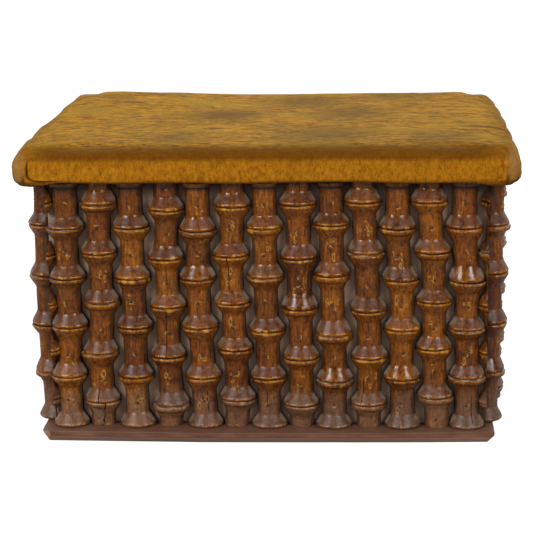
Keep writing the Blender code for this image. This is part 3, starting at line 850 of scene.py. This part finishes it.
for side, turn, seed in (
    ("front", 0.0, 11),
    ("back", math.pi, 23),
    ("left", -math.pi / 2, 37),
    ("right", math.pi / 2, 53),
):
    rng = random.Random(seed)
    nails = []
    outward = Vector((math.sin(turn), -math.cos(turn), 0.0))
    names = sorted(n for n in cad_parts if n.startswith(f"{side}_spools_"))
    for number, name in enumerate(names, start=1):
        low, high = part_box(name)
        axis_place = (low + high) / 2 - outward * abs((high - low).dot(outward)) / 2
        axis_place.z = low.z
        place = Matrix.Translation(axis_place) @ Matrix.Rotation(turn, 4, "Z")
        first_foot = -SPOOL_HEIGHT / 2 if number % 2 == 0 else 0.0
        seen, profile = side == "front", name in FULLER_COLUMNS
        column = stack_spools(rng, nails, number, seen, profile, first_foot, high.z - low.z, place)
        if profile:
            fill_out(column, nails, outward, axis_place, low.z, FULLER_COLUMNS[name])
        piece = piece_from(f"{name}_varnished", column, varnish, "box", sharp_from=50)
        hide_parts(name)
    bm = bmesh.new()
    for place in nails:
        add_head(bm, NAIL_RADIUS, NAIL_FLATNESS, place @ Matrix.Translation((0.0, 0.0, -NAIL_SINK)))
    piece_from(f"{side}_nails", bm, nail_iron, "box")

# Corner strips
# Slices ripped from half-spool columns of the shifted kind. They fill the front and back out to the
# corners, with their sawn sides flush with the side panels, and carry the same varnish.
STRIP_ROUGHNESS = 0.9 * MM
STRIP_SEED = 71

rng = random.Random(STRIP_SEED)
for face, face_sign in (("front", -1), ("back", 1)):
    for end, end_sign in (("left", -1), ("right", 1)):
        name = f"{face}_{end}_corner_strip"
        low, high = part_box(name)
        sawn, inner = (low.x, high.x) if end_sign < 0 else (high.x, low.x)
        axis_place = Vector((inner + end_sign * FLANGE_RADIUS, low.y if face_sign > 0 else high.y, low.z))
        turn = math.pi if face_sign > 0 else 0.0
        place = Matrix.Translation(axis_place) @ Matrix.Rotation(turn, 4, "Z")
        strip = stack_spools(rng, [], 0, False, True, -SPOOL_HEIGHT / 2, high.z - low.z, place)
        cut(strip, (sawn, 0.0, 0.0), (end_sign, 0.0, 0.0), take_off=True)
        grime_and_shade = strip.verts.layers.float["grime_and_shade"]
        for vert in strip.verts:
            rough = noise.noise(vert.co * 260.0) + 0.6 * noise.noise(vert.co * 620.0)
            away = 0.0 if abs(vert.co.y) < axis_place.y * face_sign + 0.5 * MM else 1.0
            vert.co.y += face_sign * STRIP_ROUGHNESS * rough * away
            # Half the column's dirt and painted shade, and painted shade in the hollows of the rough face
            vert[grime_and_shade] = max(0.5 * vert[grime_and_shade], min(0.75, max(0.0, -1.3 * rough)))
        piece = piece_from(f"{name}_varnished", strip, varnish, "box", sharp_from=50)
        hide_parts(name)

# Velvet cushion
# Gold cotton velvet drawn over a firm pad on the lid board, folded under at the edges and tacked. It
# bellies out between the tacks. At each corner the spare cloth is folded into a J and hangs down a little.
COVER_VOXEL = 5.0 * MM
COVER_LOWERED = 2.5 * MM
FRONT_CORNER_RADIUS = 20.0 * MM
BACK_CORNER_RADIUS = 29.0 * MM
TOP_ROUNDING = 9.0 * MM
HEM_ROUNDING = 2.0 * MM
TACKED_INSET = 4.0 * MM
CLOTH_PRESSURE = 4.0
CLOTH_FRAMES = 20
MOST_SWELLING = 4.0 * MM
STAND_OUT = 2.6 * MM
HEM_REACH = 8.0 * MM
TOP_DROP = 1.1 * MM
TACK_SPACING = 77.0 * MM
SCALLOP_DEPTH = 2.4 * MM
FOLD_INSET = 20.5 * MM
FOLD_HEIGHT = 1.8 * MM
FOLD_RADIUS = 7.0 * MM
FOLD_THICKNESS = 2.2 * MM
FOLD_GROOVE = 2.2 * MM
RIDGE_HEIGHT = 1.0 * MM
CORNER_DROOP = 4.5 * MM
HEM_SAG = 1.9 * MM
END_BELLY = 1.6 * MM
PLEAT_DEPTH = 1.1 * MM
CREASE_DEPTH = 1.4 * MM
# Beyond these places, in metres from the middle, a corner has no spools below it and can hang down
CLEAR_OF_FACES = (0.1705, 0.1745)
CLEAR_OF_ENDS = (0.2185, 0.2225)
CLEAR_OF_COLUMNS = (0.15, 0.155)
# How far the upper edge of each end is drawn in, from the front to the back, in metres and millimetres
LEFT_TRIM = (
    (-0.184, 1.0), (-0.156, 2.0), (-0.13, 0.0), (-0.108, -2.5), (-0.084, -0.8), (-0.06, -2.5),
    (-0.024, -5.0), (0.0, -1.0), (0.03, 1.5), (0.08, 0.5), (0.132, 0.5), (0.168, 2.5),
    (0.184, 5.0),
)
RIGHT_TRIM = (
    (-0.184, 4.0), (-0.156, 4.5), (-0.132, 1.4), (-0.108, 0.2), (-0.06, 0.6), (0.036, 0.8),
    (0.084, 1.6), (0.108, 2.5), (0.132, 2.5), (0.15, 3.5), (0.168, 5.0), (0.184, 8.0),
)
# How far the corners are drawn in above and below their widest, by the height above the hem, in millimetres
CORNER_STOPS = ((0.0, 4.6), (3.0, 2.9), (7.0, 1.6), (14.5, 0.0), (22.5, 1.2), (26.5, 2.4), (30.5, 4.2))
# A crease in the top near the right end, from one point to another
CREASE_FROM = Vector((0.186, -0.071))
CREASE_TO = Vector((0.246, -0.073))

cover_low, cover_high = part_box("velvet_cover")
middle = (cover_high + cover_low) / 2 - Vector((0.0, 0.0, COVER_LOWERED / 2))
bm = bmesh.new()
bmesh.ops.create_cube(bm, size=1.0)
bmesh.ops.scale(bm, vec=cover_high - cover_low - Vector((0.0, 0.0, COVER_LOWERED)), verts=bm.verts)
bmesh.ops.translate(bm, vec=middle, verts=bm.verts)
for radius, at_front in ((FRONT_CORNER_RADIUS, True), (BACK_CORNER_RADIUS, False)):
    upright = []
    for edge in bm.edges:
        one, other = (v.co for v in edge.verts)
        at_corner = abs(one.x) > cover_high.x - MM and abs(one.y) > cover_high.y - MM
        if abs(one.z - other.z) > 0.02 and at_corner and (one.y < 0.0) == at_front:
            upright.append(edge)
    bevel(bm, upright, radius, 8)
for rounding, is_top in ((TOP_ROUNDING, True), (HEM_ROUNDING, False)):
    rim = [e for e in bm.edges if all((v.co.z > middle.z) == is_top for v in e.verts)]
    bevel(bm, rim, rounding, 4)
cushion = object_from("velvet_cushion", bm)


def settle(piece):
    """Makes a piece's modifiers part of its mesh."""
    graph = bpy.context.evaluated_depsgraph_get()
    mesh = bpy.data.meshes.new_from_object(piece.evaluated_get(graph))
    piece.modifiers.clear()
    old, piece.data = piece.data, mesh
    bpy.data.meshes.remove(old)


def inset_of(point, half_x, half_y):
    """How far a point of the cushion lies inside its outline, seen from above."""
    radius = FRONT_CORNER_RADIUS if point.y < 0.0 else BACK_CORNER_RADIUS
    past = Vector((abs(point.x) - (half_x - radius), abs(point.y) - (half_y - radius)))
    outside = Vector((max(past.x, 0.0), max(past.y, 0.0))).length
    return radius - outside - min(max(past.x, past.y), 0.0)


even = cushion.modifiers.new("even", "REMESH")
even.mode = "VOXEL"
even.voxel_size = COVER_VOXEL
settle(cushion)

at_rest = [vert.co.copy() for vert in cushion.data.vertices]
insets = [inset_of(co, cover_high.x, cover_high.y) for co in at_rest]
tacked = [n for n, co in enumerate(at_rest) if co.z < cover_low.z + MM and insets[n] > TACKED_INSET]
cushion.vertex_groups.new(name="tacked").add(tacked, 1.0, "REPLACE")
cloth = cushion.modifiers.new("cloth", "CLOTH")
cloth.settings.use_pressure = True
cloth.settings.uniform_pressure_force = CLOTH_PRESSURE
cloth.settings.effector_weights.gravity = 0.0
cloth.settings.vertex_group_mass = "tacked"
cloth.point_cache.frame_end = CLOTH_FRAMES
for frame_number in range(1, CLOTH_FRAMES + 1):
    bpy.context.scene.frame_set(frame_number)
settle(cushion)
bpy.context.scene.frame_set(1)
for vert, start in zip(cushion.data.vertices, at_rest):
    moved = vert.co - start
    if moved.length > 0.0:
        vert.co = start + moved.normalized() * MOST_SWELLING * math.tanh(moved.length / MOST_SWELLING)
cushion.vertex_groups.clear()

finer = cushion.modifiers.new("finer", "SUBSURF")
finer.levels = finer.render_levels = 1
settle(cushion)

# The swelling drew the sides in, so the cushion is let out again to its full length and width
half_x, half_y = cover_high.x + STAND_OUT, cover_high.y + STAND_OUT
reach_x = max(abs(v.co.x) for v in cushion.data.vertices)
reach_y = max(abs(v.co.y) for v in cushion.data.vertices)
let_out = Vector((half_x / reach_x, half_y / reach_y, 1.0))
bm = bmesh.new()
bm.from_mesh(cushion.data)
bmesh.ops.scale(bm, vec=let_out, verts=bm.verts)


def gaps_of(co):
    """How far a point lies in from the nearer end, from the nearer long side and up from the hem."""
    return half_x - abs(co.x), half_y - abs(co.y), co.z - cover_low.z


def in_corner(co):
    """One where the corner may hang clear of the spools below it, and nought over them."""
    beyond_face = eased(*CLEAR_OF_FACES, abs(co.y))
    beyond_end = eased(*CLEAR_OF_ENDS, abs(co.x)) * eased(*CLEAR_OF_COLUMNS, abs(co.y))
    end_gap, face_gap, _ = gaps_of(co)
    return max(beyond_face, beyond_end) * fading(18 * MM, 50 * MM, max(end_gap, face_gap))


def fold_distance(co):
    """How far a point of a long side lies inside the outline of the J fold, and outside it if negative."""
    a, b = half_x - abs(co.x) - FOLD_INSET, co.z - cover_low.z - FOLD_HEIGHT
    if a < FOLD_RADIUS and b < FOLD_RADIUS:
        return FOLD_RADIUS - math.hypot(FOLD_RADIUS - a, FOLD_RADIUS - b)
    return min(a, b)


moves = []
for vert in bm.verts:
    co = vert.co
    inset = inset_of(co, half_x, half_y)
    end_gap, face_gap, height = gaps_of(co)
    end_sign, face_sign = math.copysign(1.0, co.x), math.copysign(1.0, co.y)
    near_end, near_face = max(0.0, 1.0 - end_gap / HEM_REACH), max(0.0, 1.0 - face_gap / HEM_REACH)
    outward = Vector((end_sign * near_end, face_sign * near_face))
    move = Vector((0.0, 0.0, 0.0))
    # The board's lower arris keeps the hem crisp under the cloth
    square = Vector((max(0.0, 1.0 - inset / HEM_REACH), max(0.0, 1.0 - height / HEM_REACH)))
    at_corner = fading(16 * MM, 42 * MM, max(end_gap, face_gap))
    if square.x > 0.0 and square.y > 0.0:
        push = (square.length / (square.x**5 + square.y**5) ** 0.2 - 1.0) * (1.0 - at_corner)
        aside = outward.normalized() * square.x * push * HEM_REACH
        move += Vector((aside.x, aside.y, -square.y * push * HEM_REACH))
    # The ends are rounded off more than the long sides, and unevenly, and so are the back corners
    trim = read_off(co.y, LEFT_TRIM if co.x < 0.0 else RIGHT_TRIM) * MM
    taper = max(eased(14 * MM, 30 * MM, height), 0.55 * eased(0.09, 0.15, co.y))
    move.x -= end_sign * trim * taper * fading(20 * MM, 70 * MM, end_gap)
    belly = fading(2 * MM, 15 * MM, abs(height - 14 * MM))
    move.x += end_sign * END_BELLY * belly * fading(8 * MM, 18 * MM, end_gap) * eased(0.1, 0.17, -co.y)
    at_edge = fading(4 * MM, 16 * MM, inset)
    drawn_in = read_off(height / MM, CORNER_STOPS) * MM * at_corner * at_edge
    move -= Vector((end_sign, face_sign, 0.0)) * 0.7 * drawn_in
    # Scallops between the tacks, on the ends and, weaker, on the long sides
    low_part = fading(20 * MM, 36 * MM, height)
    pull = 1.0 - abs(math.sin(math.pi * (co.y + 18 * MM) / TACK_SPACING)) ** 0.7
    on_end = fading(8 * MM, 18 * MM, end_gap)
    move.x -= end_sign * SCALLOP_DEPTH * pull * at_edge * (0.55 + 0.45 * low_part) * on_end
    pull = 1.0 - abs(math.sin(math.pi * (co.x - 30 * MM) / (1.3 * TACK_SPACING))) ** 0.8
    on_face = fading(6 * MM, 14 * MM, face_gap)
    move.y -= face_sign * 0.25 * SCALLOP_DEPTH * pull * at_edge * low_part * on_face
    # The corner hangs below the hem, which sags a little all along
    move.z -= CORNER_DROOP * in_corner(co) * fading(0.0, 17 * MM, height)
    sag = 0.6 + noise.noise(Vector((co.x * 14.0, co.y * 14.0, 4.0)))
    move.z -= HEM_SAG * sag * fading(7 * MM, 12 * MM, inset) * fading(0.0, 14 * MM, height)
    # The pad has settled unevenly and is fuller at the back left
    upper = eased(20 * MM, 32 * MM, height)
    settled = 0.9 * noise.noise(Vector((co.x * 9.0, co.y * 9.0, 1.0))) + 0.35 * noise.noise(co * 28.0)
    fuller = 4.0 * fading(20 * MM, 170 * MM, (co - Vector((-0.2, 0.13, co.z))).length)
    move.z += upper * (MM * (settled + fuller) - TOP_DROP)
    moves.append(move)
for vert, move in zip(bm.verts, moves):
    vert.co += move

# Finer faces where the corner folds come, and finer still along the J
for along_fold in (50 * MM, 5 * MM):
    near_corner = []
    for edge in bm.edges:
        gaps = [gaps_of(v.co) for v in edge.verts]
        in_reach = all(max(gap[:2]) < 50 * MM and gap[2] < 28 * MM for gap in gaps)
        if in_reach and along_fold < 9 * MM:
            in_reach = all(abs(fold_distance(v.co)) < along_fold for v in edge.verts)
            in_reach = in_reach and all(gap[1] < 10 * MM for gap in gaps)
        if in_reach:
            near_corner.append(edge)
    bmesh.ops.subdivide_edges(bm, edges=near_corner, cuts=1, use_grid_fill=True)
    bmesh.ops.triangulate(bm, faces=[f for f in bm.faces if len(f.verts) > 4])
layer = {key: bm.verts.layers.float.new(key) for key in ("arris_shade", "faded", "crease_shade")}
bm.normal_update()
moves = []
for vert in bm.verts:
    co = vert.co
    inset = inset_of(co, half_x, half_y)
    end_gap, face_gap, height = gaps_of(co)
    from_corner = max(end_gap, face_gap)
    end_sign, face_sign = math.copysign(1.0, co.x), math.copysign(1.0, co.y)
    at_edge = fading(4 * MM, 16 * MM, inset)
    move = Vector((0.0, 0.0, 0.0))
    # The J fold at each end of the long sides: the face's cloth lies over the corner's
    inward = fold_distance(co)
    fades = fading(8 * MM, 12 * MM, face_gap) * fading(14 * MM, 24 * MM, height)
    fades *= fading(34 * MM, 56 * MM, end_gap) * (0.25 if co.x > 0.0 > co.y else 1.0)
    raised = FOLD_THICKNESS * eased(-0.3 * MM, 0.8 * MM, inward)
    trough = eased(-2.6 * MM, -0.6 * MM, inward) * fading(-0.5 * MM, 0.3 * MM, inward)
    ridge = fading(0.0, 1.8 * MM, abs(inward + 4.2 * MM))
    move.y += face_sign * (raised - FOLD_GROOVE * trough + RIDGE_HEIGHT * ridge) * fades
    # The groove beside the fold is painted dark, as shade in it
    crease_shade = fades * eased(-1.4 * MM, -0.6 * MM, inward) * fading(-0.2 * MM, 0.4 * MM, inward)
    # Small pleats under the corner
    around = math.atan2(face_gap - 24 * MM, end_gap - 24 * MM)
    pleat = math.cos(around * 11.0) * fading(0.0, 14 * MM, height)
    pleat *= fading(17 * MM, 24 * MM, from_corner) * at_edge
    move += Vector((end_sign, face_sign, 0.0)) * PLEAT_DEPTH * pleat
    # with painted shade in the pleats' hollows
    crease_shade = max(crease_shade, 0.8 * max(0.0, -pleat) ** 2)
    # The crease across the right end of the top
    run = CREASE_TO - CREASE_FROM
    share = (Vector((co.x, co.y)) - CREASE_FROM).dot(run) / run.length_squared
    aside = abs((Vector((co.x, co.y)) - CREASE_FROM).cross(run)) / run.length
    if -0.1 < share < 1.1 and height > 24 * MM:
        taper = 0.3 + 0.7 * eased(-0.1, 0.5, share)
        hollow = eased(-0.1, 0.4, share) * fading(2.0 * MM * taper, 9.0 * MM * taper, aside)
        move.z -= CREASE_DEPTH * hollow
        # with painted shade along the crease
        crease_shade = max(crease_shade, 0.75 * hollow)
    moves.append(move)
    # A band of painted shade along the rounded upper edge, stronger on the long sides
    rolled = height + 0.5 * min(end_gap, face_gap)
    edge_band_shade = eased(18 * MM, 25 * MM, rolled) * fading(34 * MM, 48 * MM, rolled)
    long_side = eased(4 * MM, 45 * MM, end_gap) if face_gap < end_gap else 0.0
    vert[layer["arris_shade"]] = edge_band_shade * (0.4 + 0.6 * long_side)
    # The ends are paler and greyer low down near their edges: partly worn pile and partly painted sheen
    near_end = fading(9 * MM, 24 * MM, end_gap)
    vert[layer["faded"]] = near_end * at_edge * fading(26 * MM, 34 * MM, height)
    # The painted shade also runs as a dark line along the hem's lower edge
    vert[layer["crease_shade"]] = max(crease_shade, 0.6 * at_edge * fading(0.0, 1.5 * MM, height))
for vert, move in zip(bm.verts, moves):
    vert.co += move
bm.to_mesh(cushion.data)
bm.free()

# Cotton velvet: a soft sheen at grazing angles, a band of painted shade along the rounded edge, painted
# shade in the creases and folds, and blotched, partly with painted sheen, where the nap lies in different
# ways
# Stains on the top: their middle in metres, reach in millimetres and depth
STAINS = (
    (-0.052, 0.004, 60, 0.9),
    (0.03, 0.1, 70, 0.8),
    (0.082, 0.02, 70, 0.75),
    (0.06, -0.12, 80, 0.7),
    (-0.09, -0.135, 50, 0.6),
    (0.17, -0.14, 60, 0.6),
    (0.13, 0.14, 70, 0.6),
)
velvet, add = new_material("worn gold cotton velvet")
place = add("TexCoord", output="Object")
arris_shade = add("Attribute", output="Fac", attribute_name="arris_shade")
faded = add("Attribute", output="Fac", attribute_name="faded")
crease_shade = add("Attribute", output="Fac", attribute_name="crease_shade")
normal = add("NewGeometry", output="Normal")
up = add("SeparateXYZ", normal, output="Z")
on_top = add("MapRange", up, 0.6, 0.95)
stroked = add("Mapping", Vector=place, Scale=(0.33, 1.0, 1.0))
strokes = add("TexNoise", Vector=stroked, Scale=120.0, Detail=7.0, Roughness=0.78, Distortion=0.6)
blotches = add("TexNoise", Vector=stroked, Scale=26.0, Detail=5.0, Roughness=0.62)
hanging_nap = add("Mapping", Vector=place, Scale=(1.0, 1.0, 0.55))
mottle = add("TexNoise", Vector=hanging_nap, Scale=300.0, Detail=6.0, Roughness=0.85)
side_gold = add("MapRange", mottle, 0.36, 0.64)
side_gold = add("MixRGB", side_gold, "744400", "B27414")
fibres = add("TexNoise", Vector=stroked, Scale=290.0, Detail=4.0, Roughness=0.75)
top_gold = add("Math", fibres, 1.5, strokes, operation="MULTIPLY_ADD")
top_gold = add("MapRange", top_gold, 1.0, 1.5)
top_gold = add("MixRGB", top_gold, "422A00", "B47E10")
# Where the nap lies the other way it takes a greener gold, as painted sheen
greener_sheen = add("MapRange", blotches, 0.48, 0.36, 0.0, 0.6)
top_gold = add("MixRGB", greener_sheen, top_gold, "8C7014")
stained = add("MapRange", blotches, 0.5, 0.75, 0.0, 0.5)
for x, y, reach, depth in STAINS:
    away = add("VectorMath", place, (x, y, 0.3), output="Value", operation="DISTANCE")
    away = add("MapRange", away, 0.2 * (reach * MM), reach * MM, 1.7 * depth, 0.0)
    away = add("Math", away, strokes, operation="MULTIPLY")
    stained = add("Math", stained, away, operation="MAXIMUM")
top_gold = add("MixRGB", stained, top_gold, "46320A")
# The top takes a greener gold than the sides, as painted sheen, with its own nap strokes and stains
tone = add("MixRGB", on_top, side_gold, top_gold)
# The band of painted shade along the rounded edge
edge_band_shade = add("Math", strokes, 1.1, arris_shade, operation="MULTIPLY_ADD")
edge_band_shade = add("MapRange", edge_band_shade, 0.6, 1.6, 0.0, 0.85)
tone = add("MixRGB", edge_band_shade, tone, "563002")
# Paler, greyer ends: worn pile and painted sheen
faded = add("Math", faded, mottle, operation="MULTIPLY")
faded = add("MapRange", faded, 0.12, 0.6, 0.0, 0.75)
tone = add("MixRGB", faded, tone, "927042")
# Painted shade in the creases, folds and along the hem
tone = add("MixRGB", crease_shade, tone, "381606")
pile = add("TexNoise", Vector=place, Scale=900.0, Detail=3.0, Roughness=0.7)
height = add("Math", strokes, 1.5, pile, operation="MULTIPLY_ADD")
bump = add("Bump", Height=height, Strength=0.3, Distance=0.8 * MM)
set_shader(velvet, Base_Color=tone, Normal=bump, Roughness=0.9, Specular_IOR_Level=0.08)
set_shader(velvet, Sheen_Weight=0.075, Sheen_Roughness=0.45, Sheen_Tint="E2AE3C")
cushion.data.materials.clear()
cushion.data.materials.append(velvet)
cushion.data.shade_smooth()
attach(cushion, "lid")
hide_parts("velvet_cover", "lid_padding")

# Lid lining
# A piece of unbleached calico under the lid board, its edges turned under. It is stretched and held by a row
# of tacks along the front and one along the back, and by the battens at its ends.
CALICO_CELL = 5.0 * MM
TURNED_UNDER = 9.0 * MM
TACK_PITCH = 28.0 * MM
TACK_INSET = 5.0 * MM
TACK_RADIUS = 3.0 * MM
TACK_FLATNESS = 0.3
PUCKER_HEIGHT = 0.45 * MM
RIPPLE_HEIGHT = 0.25 * MM
CALICO_THICKNESS = 0.3 * MM
CALICO_PALE = "C9B795"
CALICO_DARK = "A08A66"
CALICO_SPOT = "7A6040"

lining_low, lining_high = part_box("lid_lining")
batten_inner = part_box("left_batten")[1].x
tack_count = round((lining_high.x - lining_low.x - 2 * TACK_PITCH) / TACK_PITCH)
tack_row = [(n - (tack_count - 1) / 2) * TACK_PITCH for n in range(tack_count)]
tack_row = [x for x in tack_row if abs(x) < abs(batten_inner) - 2 * TACK_RADIUS]
bm = bmesh.new()
cells = [round((high - low) / CALICO_CELL) for low, high in zip(lining_low, lining_high)]
bmesh.ops.create_grid(bm, x_segments=cells[0], y_segments=cells[1], size=1.0, calc_uvs=False)
for vert in bm.verts:
    vert.co = Vector((vert.co.x * lining_high.x, vert.co.y * lining_high.y, 0.0))
    edge_gap = lining_high.y - abs(vert.co.y)
    # It is drawn tight at each tack and slack between two
    from_tack = min(abs(vert.co.x - x) for x in tack_row) / (TACK_PITCH / 2)
    slack = min(1.0, from_tack) ** 2
    pucker = PUCKER_HEIGHT * math.sin(math.pi * min(1.0, from_tack)) * math.exp(-edge_gap / (16 * MM))
    ripple = RIPPLE_HEIGHT * noise.noise(vert.co * 22.0)
    turned = CALICO_THICKNESS * fading(TURNED_UNDER - MM, TURNED_UNDER, edge_gap)
    vert.co.y -= math.copysign(1.2 * MM * slack, vert.co.y) * fading(0.0, 12 * MM, edge_gap)
    vert.co.z = lining_high.z - CALICO_THICKNESS - max(0.0, pucker + ripple) - turned
calico, add = new_material("unbleached calico")
place = add("TexCoord", output="Object")
across = add("Mapping", Vector=place, Scale=(1.0, 0.12, 1.0))
warp = add("TexNoise", Vector=across, Scale=1500.0, Detail=2.0)
across = add("Mapping", Vector=place, Scale=(0.12, 1.0, 1.0))
weft = add("TexNoise", Vector=across, Scale=1500.0, Detail=2.0)
weave = add("Math", warp, weft, operation="ADD")
yellowed = add("TexNoise", Vector=place, Scale=14.0, Detail=5.0)
shade = add("Math", weave, 0.6, yellowed, operation="MULTIPLY_ADD")
shade = add("MapRange", shade, 0.85, 1.35)
tone = add("MixRGB", shade, CALICO_DARK, CALICO_PALE)
spots = add("TexNoise", Vector=place, Scale=45.0, Detail=3.0)
spots = add("MapRange", spots, 0.66, 0.72, 0.0, 0.6)
tone = add("MixRGB", spots, tone, CALICO_SPOT)
bump = add("Bump", Height=weave, Strength=0.25, Distance=0.3 * MM)
set_shader(calico, Base_Color=tone, Normal=bump, Roughness=0.95, Specular_IOR_Level=0.1)
lining = piece_from("calico_lining", bm, calico, "lid")
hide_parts("lid_lining")

bm = bmesh.new()
for x in tack_row:
    for side in (-1, 1):
        at = (x, side * (lining_high.y - TACK_INSET), lining_high.z - MM)
        add_head(bm, TACK_RADIUS, TACK_FLATNESS, Matrix.Translation(at))
piece_from("lining_tacks", bm, nail_iron, "lid")

# Lid battens
# Two planed pine battens screwed up into the lid board. They hold the ends of the lining, and they keep the
# lid from sliding, as they drop in just inside the ends of the box. Each has three slotted steel screws.
BATTEN_CHAMFER = 1.5 * MM
SCREW_RADIUS = 4.0 * MM
SCREW_HEAD_DEPTH = 1.2 * MM
SCREW_SLOT = 1.2 * MM
SCREW_PITCH = 105.0 * MM

screws = bmesh.new()
for name in ("left_batten", "right_batten"):
    low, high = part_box(name)
    bm = box_between(low, high)
    bevel(bm, [e for e in bm.edges if all(v.co.z < low.z + MM for v in e.verts)], BATTEN_CHAMFER, 2)
    batten = piece_from(f"{name}_planed", bm, panel_wood, "lid", sharp_from=35)
    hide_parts(name)
    for n in (-1, 0, 1):
        at = Vector(((low.x + high.x) / 2, n * SCREW_PITCH, low.z))
        turn = Matrix.Rotation(0.7 + 1.9 * n + low.x, 4, "Z")
        # A flat head let in flush, in two halves with the slot between them
        for half in (-1, 1):
            head = bmesh.new()
            sizes = {"radius1": SCREW_RADIUS, "radius2": SCREW_RADIUS, "depth": SCREW_HEAD_DEPTH}
            bmesh.ops.create_cone(head, cap_ends=True, segments=24, **sizes)
            cut(head, (0.0, half * SCREW_SLOT / 2, 0.0), (0.0, -half, 0.0), take_off=True)
            bmesh.ops.transform(head, matrix=Matrix.Translation(at) @ turn, verts=head.verts)
            join_into(screws, head)
steel, add = new_material("dull screw steel")
place = add("TexCoord", output="Object")
worn = add("TexNoise", Vector=place, Scale=600.0, Detail=4.0)
tone = add("MixRGB", worn, "4A423A", "A39A8C")
set_shader(steel, Base_Color=tone, Metallic=0.8, Roughness=0.42)
piece_from("batten_screws", screws, steel, "lid")
